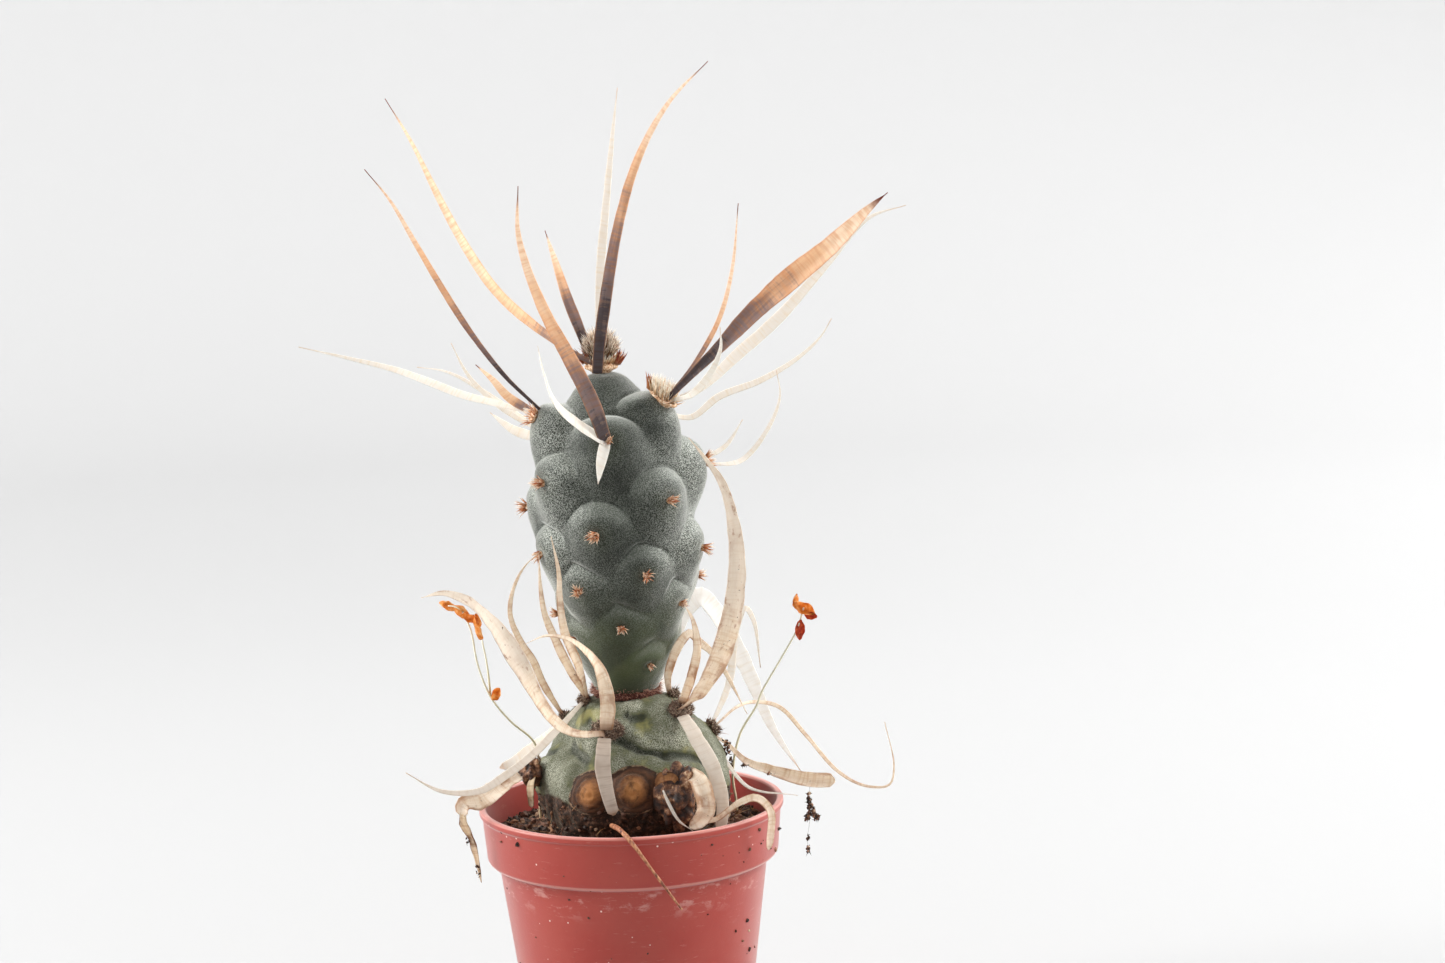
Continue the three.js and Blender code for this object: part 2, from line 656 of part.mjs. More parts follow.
function driedLeftSpines() {
  return spray({
    areoles: [old.areole(-85, 56.5)],
    pad: 2.1,
    seed: 28,
    extras: [driedLump([-17.5, -5, 57], [2.2, 2.2, 2.6], 1)],
    ribbons: [
      { route: [[-17, -3, 57.5], [-22, -8, 55.5], [-26.5, -11, 53.9], [-29.3, -12, 53.3], [-29.6, -12, 50.5],
        [-28, -11, 45.5], [-27, -10.5, 38.5]], width: 3.7, belly: 0.3, face: [-0.3, -1, 0.8],
        tipFace: [-0.3, -1, 0], steps: 14 },
      { route: [[-17, -4, 56.5], [-16.2, -9, 55.5], [-16, -12, 53]], width: 1.6, steps: 5,
        face: [-0.5, -1, 0.5] },
    ],
  });
}

function driedRightSpines() {
  return spray({
    areoles: [old.areole(40, 51.5)],
    pad: 1.8,
    bristles: 5,
    seed: 29,
    extras: [driedLump([9.6, -17.6, 54.2], [2.6, 2.2, 4.6], 2)],
    ribbons: [
      { route: [[10, -18, 51], [12, -18.5, 50.4], [15, -19, 50.6], [19.5, -19, 53.6], [22.5, -19, 54.3],
        [24.8, -18, 51.5], [24.3, -17, 44.3]], width: 1.5, face: [0.1, -1, 0.8], tipFace: [0.5, -1, 0] },
      { route: [[9.5, -17, 58], [11.5, -18, 59], [14, -19.5, 58.5], [15.2, -20.5, 56], [14, -20.5, 52.5],
        [11.5, -19.5, 51]], width: 2.8, belly: 0.5, tip: 0.6, face: [0, -1, 0.6], tipFace: [0.4, -1, -0.2] },
    ],
  });
}

// A dry needle that leans on the stem's foot and over the front of the rim.
function fallenSpine() {
  return stalk([[-3, -19, 51], [0, -26.8, 51.4], [2, -28.7, 48.4], [5.3, -28.7, 42.8], [8.7, -28.3, 37.5]],
    0.5, 0.3);
}

const leftWeedRoute = [[-17, 8, 38.5], [-17, 8, 44], [-17, 8, 49], [-16.8, 8, 54], [-17.5, 6, 60],
  [-21.5, 4, 64.5], [-24.7, 2, 69.5], [-26.7, 1, 75.7], [-27.6, 0, 82.3], [-28.9, 0, 85.6]];
const rightWeedRoute = [[19, 8, 38.5], [19, 8, 43], [19, 8, 47], [18.5, 8, 52], [20, 8, 59.5],
  [23.3, 7, 65.2], [24.3, 7, 67.6], [27.8, 6, 73.6], [31, 5, 79.3], [32.4, 5, 83.4]];

// A dead seedling in the soil: a thin stalk with dry leaves and pods.
function leftWeed() {
  const fork = stalk([[-24.7, 2, 69.5], [-25.1, 2, 75.4], [-25.8, 2, 80]], WEED_RADIUS, WEED_TIP_RADIUS, 5);
  const leaves = [[-24.4, 1.5, 70, 1], [-28.8, 0, 85.8, 1.4], [-31.5, 0.5, 86.8, 1.5], [-26.9, -0.5, 83, 1.3]]
    .map(([x, y, z, size]) => {
      const out = new THREE.Vector3(0.3, -0.8, 0.5).normalize();
      return cushion(new THREE.Vector3(x, y, z), out, size, 0.5, 7, 4);
    });
  const bridge = stalk([[-28.8, 0, 85.6], [-31.5, 0.5, 86.8]], WEED_RADIUS, WEED_RADIUS, 2);
  return mainBody(joined([stalk(leftWeedRoute, WEED_RADIUS, WEED_TIP_RADIUS, 15), fork, bridge, ...leaves]));
}

function rightWeed() {
  const pods = [[31, 5, 79.2, 1.5, 0.5], [32.3, 5, 83.3, 1.7, 0.6], [33.6, 5, 81.8, 1.1, 0.7]]
    .map(([x, y, z, size, flatness]) => {
      const out = new THREE.Vector3(-0.8, -0.3, 0.5).normalize();
      return cushion(new THREE.Vector3(x, y, z), out, size, flatness, 7, 4);
    });
  return mainBody(joined([stalk(rightWeedRoute, WEED_RADIUS, WEED_TIP_RADIUS, 13), ...pods]));
}

// The pot: one moulded shell with a stepped collar and drain holes through its floor.
function pot() {
  const shell = new THREE.LatheGeometry([
    [0, 0], [BASE_RADIUS - 0.5, 0], [BASE_RADIUS, 0.5], [CONE_TOP_RADIUS, COLLAR_FOOT - COLLAR_STEP],
    [COLLAR_RADIUS, COLLAR_FOOT + COLLAR_STEP], [COLLAR_TOP_RADIUS, POT_HEIGHT - RIM_BAND - 0.2],
    [RIM_RADIUS, POT_HEIGHT - RIM_BAND], [RIM_RADIUS, POT_HEIGHT], [RIM_RADIUS - RIM_WALL, POT_HEIGHT],
    [COLLAR_RADIUS - POT_WALL, COLLAR_FOOT + 0.9], [CONE_TOP_RADIUS - POT_WALL, COLLAR_FOOT],
    [BASE_RADIUS - POT_WALL, POT_FLOOR], [0, POT_FLOOR],
  ].map(([radius, height]) => new THREE.Vector2(radius, height)), POT_SIDES);
  shell.rotateX(Math.PI / 2);
  const holes = Array.from({ length: DRAIN_HOLES }, (_, number) => {
    const flat = around((360 * number) / DRAIN_HOLES, DRAIN_CIRCLE);
    const drill = new THREE.CylinderGeometry(DRAIN_RADIUS, DRAIN_RADIUS, 6, 10).rotateX(Math.PI / 2);
    return solidOf(drill.translate(flat.x, flat.y, POT_FLOOR / 2));
  });
  return solidOf(shell).subtract(joined(holes));
}

// The soil fills the pot to a few millimetres under the rim. Its top is lumpy and rises to the stem.
function soil() {
  const random = seededRandom(3);
  const waves = Array.from({ length: 6 }, () => (
    [1 + Math.floor(random() * 5), 0.2 + random() * 0.5, random() * 6.3]
  ));
  const lumps = (turn, radius) => waves.reduce((sum, [count, pitch, phase]) => (
    sum + Math.sin(count * radians(turn) + phase) * Math.cos(pitch * radius + phase)
  ), 0) * 0.22;
  const foot = POT_FLOOR + GAP;
  const inset = POT_WALL + SOIL_GAP;
  const wall = [
    [BASE_RADIUS - inset, foot], [CONE_TOP_RADIUS - inset, COLLAR_FOOT + 0.1],
    [COLLAR_RADIUS - inset, COLLAR_FOOT + 1.2], [SOIL_RADIUS, SOIL_EDGE],
  ];
  const tops = [23, 20, 17, 13, 6].map((radius) => [radius, null]);
  const rings = [...wall, ...tops].map(([radius, height]) => (
    Array.from({ length: SOIL_COLUMNS }, (_, column) => {
      const turn = (360 * column) / SOIL_COLUMNS;
      const flat = around(turn, radius);
      const top = SOIL_EDGE + SOIL_MOUND * (1 - radius / 25) + lumps(turn, radius);
      return new THREE.Vector3(flat.x, flat.y, height ?? top);
    })
  ));
  const body = solidOf(skinGeometry(
    rings, new THREE.Vector3(0, 0, foot), new THREE.Vector3(0, 0, SOIL_EDGE + SOIL_MOUND),
  ));
  const holes = [leftWeedRoute, rightWeedRoute].map(([root]) => (
    stalk([root, [root[0], root[1], POT_HEIGHT]], WEED_RADIUS + GAP, WEED_RADIUS + GAP, 1)
  ));
  return mainBody(body.subtract(oldRoom).subtract(joined(holes)));
}

const cactus = new THREE.Group();

function addPiece(name, solid, colour, roughness = 0.8) {
  const material = new THREE.MeshStandardMaterial({ color: colour, roughness, metalness: 0 });
  const piece = new THREE.Mesh(geometryOf(solid), material);
  piece.name = name;
  cactus.add(piece);
}

addPiece('pot', pot(), COLOURS.pot, 0.55);
addPiece('soil', soil(), COLOURS.soil, 1);
addPiece('old_joint', old.solid(OLD_GRID), COLOURS.oldStem);
addPiece('young_joint', youngStem(), COLOURS.stem);
addPiece('crown_spines', crown(), COLOURS.amber);
addPiece('front_upper_spines', frontUpperSpines(), COLOURS.amber);
addPiece('right_shoulder_spines', rightShoulderSpines(), COLOURS.amber);
addPiece('left_shoulder_spines', leftShoulderSpines(), COLOURS.amber);
addPiece('back_upper_spines', backUpperSpines(), COLOURS.cream);
addPiece('right_edge_spines', rightEdgeSpines(), COLOURS.cream);
addPiece('back_left_spines', backLeftSpines(), COLOURS.cream);
addPiece('neck_left_spines', neckLeftSpines(), COLOURS.beige);
addPiece('neck_right_spine', neckRightSpine(), COLOURS.beige);
addPiece('lower_right_spines', lowerRightSpines(), COLOURS.beige);
addPiece('lower_back_spine', lowerBackSpine(), COLOURS.cream);
addPiece('lower_front_spines', lowerFrontSpines(), COLOURS.beige);
addPiece('far_right_spines', farRightSpines(), COLOURS.beige);
addPiece('far_left_spines', farLeftSpines(), COLOURS.beige);
addPiece('dried_left_spines', driedLeftSpines(), COLOURS.beige);
addPiece('dried_right_spines', driedRightSpines(), COLOURS.beige);
addPiece('fallen_spine', fallenSpine(), COLOURS.brown);
addPiece('left_weed', leftWeed(), COLOURS.weed);
addPiece('right_weed', rightWeed(), COLOURS.weed);

export default cactus;
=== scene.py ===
"""Dresses the potted paper spine cactus: its skin, papery spines, wool, soil, pot and weeds, on a pale floor.

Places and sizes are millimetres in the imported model's own frame, with +Z up and the front along -Y, and
meshes are made in metres. Turns are degrees round the plant: 0 is the front and 90 is the right.
"""

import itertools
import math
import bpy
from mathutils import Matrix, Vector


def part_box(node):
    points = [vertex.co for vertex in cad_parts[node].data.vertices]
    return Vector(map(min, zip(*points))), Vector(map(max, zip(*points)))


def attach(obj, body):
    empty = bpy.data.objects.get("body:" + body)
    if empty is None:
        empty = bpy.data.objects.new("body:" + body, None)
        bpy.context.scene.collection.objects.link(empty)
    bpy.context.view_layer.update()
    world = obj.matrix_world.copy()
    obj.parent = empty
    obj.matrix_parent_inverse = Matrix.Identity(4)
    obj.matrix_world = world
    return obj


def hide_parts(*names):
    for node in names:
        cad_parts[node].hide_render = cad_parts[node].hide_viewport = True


bl_info = {
    "name": "Potted Paper Spine Cactus",
    "version": (1, 0, 0),
    "blender": (4, 5, 0),
    "location": "3D View > Sidebar > Cactus",
    "description": "Builds a two-jointed cactus with papery spines in a small nursery pot",
    "category": "Add Mesh",
}

import bpy
import numpy as np
from bpy.props import FloatProperty, FloatVectorProperty, IntProperty, PointerProperty
from mathutils import Matrix

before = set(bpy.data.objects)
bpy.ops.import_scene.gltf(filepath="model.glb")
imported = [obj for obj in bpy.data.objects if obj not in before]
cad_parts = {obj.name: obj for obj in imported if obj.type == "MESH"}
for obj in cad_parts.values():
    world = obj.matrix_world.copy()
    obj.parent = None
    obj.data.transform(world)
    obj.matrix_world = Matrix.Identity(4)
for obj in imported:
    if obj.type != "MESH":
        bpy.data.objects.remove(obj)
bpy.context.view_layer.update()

# A millimetre in metres and in centimetres. All lengths below are millimetres, but for the stage's.
MM = 0.001
MM_IN_CM = 0.1
POT_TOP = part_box("pot")[1]
POT_HEIGHT = POT_TOP.z / MM
RIM_RADIUS = POT_TOP.x / MM
BASE_RADIUS = 19
NECK_RADIUS = 24.3
COLLAR_RADIUS = 26.3
COLLAR_FOOT = 40
POT_WALL = 0.9
DRAIN_HOLES = 6
DRAIN_RADIUS = 2.5
DRAIN_CIRCLE = 12.5
SOIL_EDGE = 44.6
SOIL_RADIUS = 25.35
SOIL_MOUND = 1.6
GAP = 0.3
AREOLE_COUNT = 30
GOLDEN_TURN = 137.5
FIRST_AREOLE_TURN = 60
FIRST_AREOLE_HEIGHT = 123.2
# From each young areole to the next one down: the fall and how much less it gets, and what its tubercle
# loses of its half width and of its rise.
AREOLE_FALL, FALL_LOSS = 2.12, 0.0177
TUBERCLE_WIDTH, WIDTH_LOSS = 7.5, 0.09
TUBERCLE_RISE, RISE_LOSS = 2.7, 0.045
# The first areole that has a small tuft instead of a spray.
FIRST_TUFT = 6
CROWN_PLACE = (-2.3, 0, 130.5)
UP = (0, 0, 1)

# Ways in which this plant's areoles leave the golden-turn rule: number, degrees round, mm up, mm proud.
AREOLE_SHIFTS = [
    (0, 5, -1.9, 0.7), (1, 0, -1.9, 1.0), (3, -8, 0, 0), (5, 5, -2.4, 1.5), (6, -8, -1.5, 0), (8, 0, -1, 0),
    (9, 5, -1.3, 0.2), (11, 0, -0.7, 0), (13, 5, -2, 0.3), (18, 0, 0, 0.6), (19, 0, 1.5, 0),
    (21, 8, 0.7, 0), (24, 0, 1.5, 0), (27, -3, 2.5, 0),
]
YOUNG_PROFILE = [
    (0, 69.8), (4.6, 69.8), (5.3, 71), (6.9, 74.5), (8.8, 78.5), (10.1, 82.5), (11.2, 87), (12.4, 92),
    (13.2, 97), (13.5, 102), (13.4, 107), (12.8, 112), (11.7, 116), (10.2, 119.4), (8.2, 122),
    (5.7, 125.2), (3.2, 127.7), (0, 128.5),
]
OLD_PROFILE = [
    (0, 30), (3.6, 34), (8.6, 39), (13, 43.5), (15.4, 48), (16, 52.5), (15.2, 57), (13.4, 60),
    (11.2, 63), (9.6, 66), (7.4, 68.4), (5.2, 69.4), (0, 69.5),
]
# Turn, height, half width and rise of the old joint's swellings, and of its corky ovals.
OLD_SWELLINGS = [
    (-19, 65, 8, 1.4), (57, 66.5, 8, 1.6), (-76, 68.2, 5, 0.9), (101, 60.8, 8, 2.2), (-85, 56.5, 8, 1.8),
    (-107, 63.6, 6.5, 2.2), (150, 64, 8, 1.5), (-160, 59, 8, 1.6), (28, 57.5, 8, 1.6), (-140, 52, 8, 1.4),
    (72, 53, 8, 1.5), (128, 53, 8, 1.4), (175, 50, 8, 1.3), (-46, 54, 7.5, 1.4),
]
CORKY_OVALS = [(-26, 55, 3.9, 2.2), (1, 55.6, 4.2, 2.3), (40, 51.5, 3.6, 2.2)]
# The old joint's radius where the ovals are, and the length of one degree round it, both rounded.
OLD_RADIUS = 15.5
MM_A_DEGREE = 0.26
# Folds in the old joint's skin: turn and height of both ends, and depth.
SKIN_FOLDS = [
    (-14, 63.6, 6, 61.9, 0.7), (6, 61.9, 30, 60.6, 0.8), (-6, 66.4, 16, 67.2, 0.5), (-60, 62, -34, 60, 0.7),
    (30, 60.6, 62, 58, 0.6), (-75, 60, -98, 57, 0.5), (64, 64, 92, 66, 0.5), (105, 55, 140, 57, 0.6),
    (-120, 58, -150, 61, 0.6), (160, 57, 190, 60, 0.6), (-50, 66, -30, 65, 0.4),
]

# What a papery ribbon has unless its own line says otherwise. belly is where it is widest; root and tip are
# its end widths as shares of that. face and tip_face are the ways its broad side looks. shade says how far
# up a dark root reaches, or how brown the paper is. The rest are thickness and shares of the width.
RIBBON_REST = {
    "belly": 0.35, "root": 0.5, "tip": 0.0, "face": (0, -1, 0.2), "tip_face": None, "shade": 0.4,
    "thick": 0.36, "fold": 0.24, "crinkle": 0.05, "ragged": 0.03, "roll": 0.1,
}
AGED = {"thick": 0.3, "fold": 0.18, "crinkle": 0.12, "ragged": 0.07, "roll": 0.25}


def strip(route, width, look, **rest):
    """One ribbon: the points that it runs through, its width, its paper and what else sets it apart."""
    return {**RIBBON_REST, **rest, "route": route, "width": width, "look": look}


def aged(route, width, look, **rest):
    """A ribbon of old, crumpled paper."""
    return strip(route, width, look, **{**AGED, **rest})


CROWN_RIBBONS = [
    strip([(-2.9, -3.5, 128.3), (-2.4, -4.2, 133), (-1.3, -5, 139.5), (1.2, -5, 152), (5.3, -3, 165),
           (11.2, 1, 175), (18.5, 6, 182)], 2.2, "amber", belly=0.15, root=0.9, face=(0.3, -1, 0.1),
          fold=0.35),
    strip([(-3, 2, 130), (-2, 6, 145.5), (-0.5, 9, 158), (1, 14, 170), (2, 18, 177.5)],
          1.6, "cream", face=(0.2, -1, 0.3)),
    strip([(-4, 0.5, 130), (-5.2, 1, 133.8), (-7.8, 2, 141), (-9.8, 4, 147.5), (-11.6, 7, 153)],
          2, "amber", root=0.8, face=(-0.2, -1, 0.2), shade=0.45),
    strip([(-3, -2, 129.5), (-8.5, -2.5, 133), (-20, 5, 142), (-26, 9, 150.5), (-30.5, 12, 159),
           (-35.5, 15, 169.5), (-40, 18, 177)], 2, "pale_amber", belly=0.3, face=(-0.3, -1, -0.2), shade=0.1),
]
FRONT_UPPER_RIBBONS = [
    strip([(-1.6, -14, 117.8), (-3.7, -19, 125.5), (-6.8, -22, 133), (-10.5, -24, 141), (-13.3, -25, 149),
           (-14.6, -25, 155.5), (-14.3, -24, 163)],
          2.8, "amber", belly=0.12, root=0.95, face=(0.2, -1, 0.5), tip_face=(0, -1, 0), shade=0.32),
    strip([(-1.8, -14, 117.6), (-5.8, -18, 121), (-9.5, -23, 125.5), (-11, -29, 131.5), (-11.5, -36, 137)],
          2.4, "white", belly=0.15, root=0.9, face=(0.6, -1, 0.7), tip_face=(0.7, -0.6, 0.9)),
    strip([(-1.6, -14, 117.4), (-2.4, -18, 114.5), (-2.9, -22, 111.3)],
          2.2, "white", belly=0.2, root=0.9, face=(0, -1, -0.4)),
]
RIGHT_SHOULDER_RIBBONS = [
    strip([(8.4, -6, 122.8), (14.2, -8, 128.4), (19, -9, 133), (24.5, -10, 138.5), (31.5, -11, 144.5),
           (38.5, -12, 150), (45.5, -13, 156.5), (48.7, -13, 159)],
          3.9, "amber", belly=0.6, root=0.25, face=(0.1, -1, 0.3), shade=0.44, fold=0.5, ragged=0.05),
    strip([(8.8, -5, 123.2), (14.6, -3, 129.8), (18.9, -2, 137), (21.5, 0, 145.5), (23, 2, 157)],
          0.9, "amber", face=(0, -1, 0.3), shade=0.25),
    strip([(9.2, -5.5, 122.6), (15, -2.5, 124.8), (21.5, 4, 129.5), (30, 10, 136), (38.5, 14, 144.5),
           (46.5, 16, 152.5), (53.5, 18, 154.5)], 2.2, "cream", face=(0.2, -1, 0.6)),
    strip([(10.5, -6, 123.5), (13.5, -8.5, 124.5), (17.5, -13, 129.5), (19, -15, 133.5), (19, -16, 137)],
          1.4, "white", face=(0.3, -1, 0.3)),
]
LEFT_SHOULDER_RIBBONS = [
    strip([(-13, -3, 121.8), (-19, -8, 129), (-24.5, -12, 137.5), (-29, -15, 146), (-33, -17, 154),
           (-36.5, -19, 161), (-40.5, -20, 166.5)], 1.2, "amber", belly=0.5, face=(-0.3, -1, 0.2),
          shade=0.42),
    strip([(-13, -2, 121), (-20.5, 3, 122.5), (-28, 8, 124), (-34, 12, 126), (-40.5, 16, 128),
           (-48.5, 18, 130), (-58, 18, 132.5)], 1.5, "cream", face=(-0.2, -1, 0.6)),
    strip([(-13, -1, 120.5), (-19, 2, 123.8), (-22, 4, 127), (-25, 6, 129.5)],
          1.8, "pale_amber", face=(0.3, -1, 0.4), shade=0.3),
]
BACK_UPPER_RIBBONS = [
    strip([(7, 11, 120), (13, 14.5, 117.5), (18.5, 16, 121), (26, 17, 123.5), (33.5, 19, 127.5),
           (37.5, 20, 131), (39.5, 21, 134)], 1.4, "cream", face=(0, -1, 0.5)),
]
RIGHT_EDGE_RIBBONS = [
    strip([(14.5, 1.5, 111), (17.5, 2.5, 110.5), (22.5, 8, 110.5), (27.5, 12, 116), (29.5, 14, 121),
           (29, 15, 125.5)], 1, "cream", face=(0, -1, 0.5)),
    strip([(14.5, 1.5, 111.2), (19.5, 6, 113.5), (22.5, 9, 117.5)], 0.9, "cream"),
]
BACK_LEFT_RIBBONS = [
    strip([(-13, 9.5, 116), (-21.5, 13, 121), (-27, 15, 126.5), (-30, 16, 132.5)], 1.1, "cream"),
    strip([(-13, 9.5, 115.5), (-21.5, 17.5, 121), (-31, 21, 126.5), (-37, 23, 127.5)],
          1, "cream", face=(0, -1, 0.5)),
    strip([(-13, 9.5, 115), (-19, 13, 116.5), (-23.5, 16, 119.5)], 1.8, "cream"),
]
NECK_LEFT_RIBBONS = [
    aged([(-7.3, -2.5, 69.8), (-9.5, -9, 76), (-11.5, -12, 81.5), (-13.5, -13.5, 87.5), (-14, -14, 92.5),
          (-14, -14.5, 98)], 1.6, "beige", face=(0.4, -1, 0)),
    aged([(-7, -3, 69.8), (-8, -12, 77.5), (-10, -16, 84.5), (-10.5, -18, 90.5), (-10.5, -18, 95.5),
          (-11.5, -19, 102)], 1.7, "beige", face=(0.6, -1, 0.4), tip_face=(0.2, -1, 0), shade=0.6),
    aged([(-7.5, -3, 69.5), (-12.5, -10, 65.5), (-17, -14, 62), (-21.5, -18, 59.5), (-26, -20, 57.5),
          (-32.5, -21, 58), (-38.5, -21, 61.5)], 1.7, "hazy", face=(-0.3, -1, 0.6)),
]
NECK_RIGHT_RIBBONS = [
    aged([(7.6, -1.2, 69.6), (7.6, -4, 74), (9.5, -5.5, 79), (11.5, -5, 81.3), (13.5, -2, 79),
          (15.5, 1, 76.5), (17.5, 3, 73), (19.5, 4.5, 68.5), (21.5, 5.5, 64)],
         1.7, "beige", belly=0.2, face=(0.4, -1, 0), shade=0.6),
]
LOWER_RIGHT_RIBBONS = [
    aged([(10, -7, 68.3), (13, -13, 72), (17, -17, 79.5), (19.5, -19, 88), (20.5, -21, 96),
          (20, -23, 104.5), (18.5, -25, 111), (15.5, -26, 116), (13, -27, 119.5)],
         3.6, "veil", belly=0.3, root=0.75, face=(0.5, -1, 0.2), tip_face=(-0.2, -1, 0.3), shade=0.3,
         fold=0.3),
    aged([(10, -6.5, 69), (12, -9, 75), (13, -9.5, 79.5), (12.4, -9.5, 84.5), (11, -10, 87.5)],
         1.8, "beige", root=0.9, face=(0.2, -1, 0.2), shade=0.6),
    aged([(10, -8, 67), (13, -14, 63), (15, -16.5, 59.5), (16.5, -16.5, 53.5), (16, -16.5, 47.5)],
         2.9, "hazy", belly=0.4, root=0.8, tip=0.6, face=(0.3, -1, 0.5), tip_face=(-0.2, -1, 0), roll=0),
]
LOWER_BACK_RIBBONS = [
    aged([(6.2, 10.5, 65.5), (7.5, 17, 73.5), (10.5, 19, 81), (13.5, 20, 83.2), (16.5, 21, 80),
          (22, 22, 68.5), (26, 22, 58), (31.5, 20, 49)], 3.7, "clear", face=(0.3, -1, 0.3)),
]
LOWER_FRONT_RIBBONS = [
    aged([(-3.5, -12.5, 66), (-3, -15.5, 72), (-4, -19, 78), (-6.5, -22, 82.5), (-9.5, -24, 85),
          (-13, -24, 85.5), (-16.5, -23, 84)],
         2.6, "beige", belly=0.1, root=0.9, tip_face=(0, -0.6, 1), shade=0.35),
    aged([(-4, -12.5, 65.3), (-9.5, -18, 67), (-13, -20, 70.5), (-16, -22, 76.5), (-19, -24, 83),
          (-22.5, -26, 89), (-25.5, -28, 92.5), (-29.5, -29, 94.5), (-33.5, -30, 94)],
         3.7, "veil", belly=0.55, root=0.3, face=(0.5, -1, 0.8), tip_face=(0, -0.8, 1), shade=0.3, fold=0.3),
    aged([(-3.9, -13.4, 64.6), (-4.1, -16.4, 62.6), (-4.2, -17.8, 60), (-3.3, -19.2, 55),
          (-2.5, -19.5, 52.2)], 2.7, "smoky", root=0.9, tip=0.7, face=(0, -1, 0.3), roll=0),
]
FAR_RIGHT_RIBBONS = [
    aged([(15, 3, 62), (20, 10, 64.5), (23, 13, 64.5), (27.5, 15, 63), (32.5, 16, 57), (38, 17, 50),
          (43, 17, 47), (47.5, 17, 47), (48.5, 17, 50.5), (47, 17, 59)],
         0.8, "beige", face=(0, -1, 0.3), shade=0.3),
    aged([(15, 3, 61), (17.5, 4, 59), (21, 4, 55.5), (24.5, 4, 54), (28.5, 3, 52.8), (32.5, 2, 52),
          (37, 1, 52)], 2.8, "beige", belly=0.9, root=0.22, tip=0.95, face=(0.1, -1, 0.6), shade=0.3,
         fold=0.6, roll=0),
    aged([(15, 4, 62.5), (18.5, 11, 69), (20, 13, 78), (21.8, 14, 82), (23.3, 15, 79.5),
          (24.3, 15, 70.5)], 1.5, "cream", face=(0.2, -1, 0)),
    aged([(15.5, 2, 60.5), (18, 0, 55.5), (21, -2, 52.3), (24, -4, 51.6), (27, -5, 51.5),
          (30, -6, 51.3)], 1, "cream", face=(0, -0.5, 1)),
]
FAR_LEFT_RIBBONS = [
    aged([(-12, 3.5, 65.5), (-15, 0, 72), (-16.5, -3, 77), (-18.5, -5, 81), (-20, -6, 86),
          (-19.3, -7, 90.5), (-17, -9, 95), (-14, -11, 98)],
         1.4, "beige", belly=0.2, face=(0.3, -1, 0), shade=0.3),
    aged([(-12, 4.5, 64), (-15.8, 11, 59.5), (-19, 13, 56.5), (-22, 14, 54.5), (-24.5, 14, 53.5)],
         2.4, "cream", belly=0.7, tip=0.5, face=(0, -1, 0.6)),
]
DRIED_LEFT_RIBBONS = [
    aged([(-17, -3, 57.5), (-22, -8, 55.5), (-26.5, -11, 53.9), (-29.3, -12, 53.2), (-29.7, -12, 51)],
         3.7, "beige", belly=0.6, tip=0.5, face=(-0.3, -1, 0.8), tip_face=(-0.6, -1, 0.2), shade=0.55,
         crinkle=0.3, ragged=0.16),
    aged([(-29, -12, 53.2), (-29.6, -12, 50.5), (-28, -11, 45.5), (-27, -10.5, 38.5)],
         1.7, "tan", belly=0.2, root=0.9, tip=0.15, face=(-0.6, -1, 0.1), shade=0.9, crinkle=0.3, ragged=0.2),
    aged([(-17, -5, 56.5), (-17.6, -8.5, 55.5), (-17.5, -9, 51.5)], 1.5, "tan", tip=0.6,
         face=(-0.3, -1, 0.2), shade=0.6),
]
DRIED_RIGHT_RIBBONS = [
    aged([(10, -18, 51), (12, -18.5, 50.4), (15, -19, 50.6), (19.5, -19, 53.6), (22.5, -19, 54.3),
          (24.8, -18, 51.5), (24.3, -17, 44.3)],
         1.6, "beige", belly=0.9, tip=0.7, face=(0.1, -1, 0.8), tip_face=(0.5, -1, 0), shade=0.6, fold=0.5),
    aged([(10.6, -17, 58.6), (12.3, -19.2, 58), (13.3, -20.5, 55.4), (13.5, -20.6, 52.8), (12.3, -19.8, 50.6),
          (10.6, -19.4, 49.6)], 3.6, "beige", belly=0.45, root=0.8, tip=0.4, face=(0.3, -1, 0.2),
         tip_face=(0.2, -1, 0.5), shade=0.6, roll=0, fold=0.5, ragged=0.1),
    aged([(6.2, -18.8, 56.2), (7.2, -20.2, 54), (8.8, -20.9, 51.2), (11.2, -21, 49.3)],
         0.6, "cream", belly=0.3, face=(0, -1, 0.3)),
    aged([(9, -18, 56.4), (8, -18.6, 58.4), (6, -18.6, 58.4), (4.8, -18.2, 56.8)],
         1.8, "husk", belly=0.5, tip=0.3, face=(0, -1, 0.5), shade=0.8, crinkle=0.35, ragged=0.25),
]

# For each spray on the young joint: the number of its areole, its felt cushion's radius and flatness, how
# many bristles stand in it, and its ribbons. The crown has no number, and its wool has its own measures.
YOUNG_SPRAYS = {
    "crown_spines": (None, CROWN_RIBBONS),
    "front_upper_spines": (3, 1.2, 0.6, 40, FRONT_UPPER_RIBBONS),
    "right_shoulder_spines": (0, 2.5, 0.9, 60, RIGHT_SHOULDER_RIBBONS),
    "left_shoulder_spines": (1, 1.9, 0.6, 46, LEFT_SHOULDER_RIBBONS),
    "back_upper_spines": (2, 1.8, 0.6, 46, BACK_UPPER_RIBBONS),
    "right_edge_spines": (5, 1.5, 0.6, 46, RIGHT_EDGE_RIBBONS),
    "back_left_spines": (4, 1.8, 0.6, 46, BACK_LEFT_RIBBONS),
}
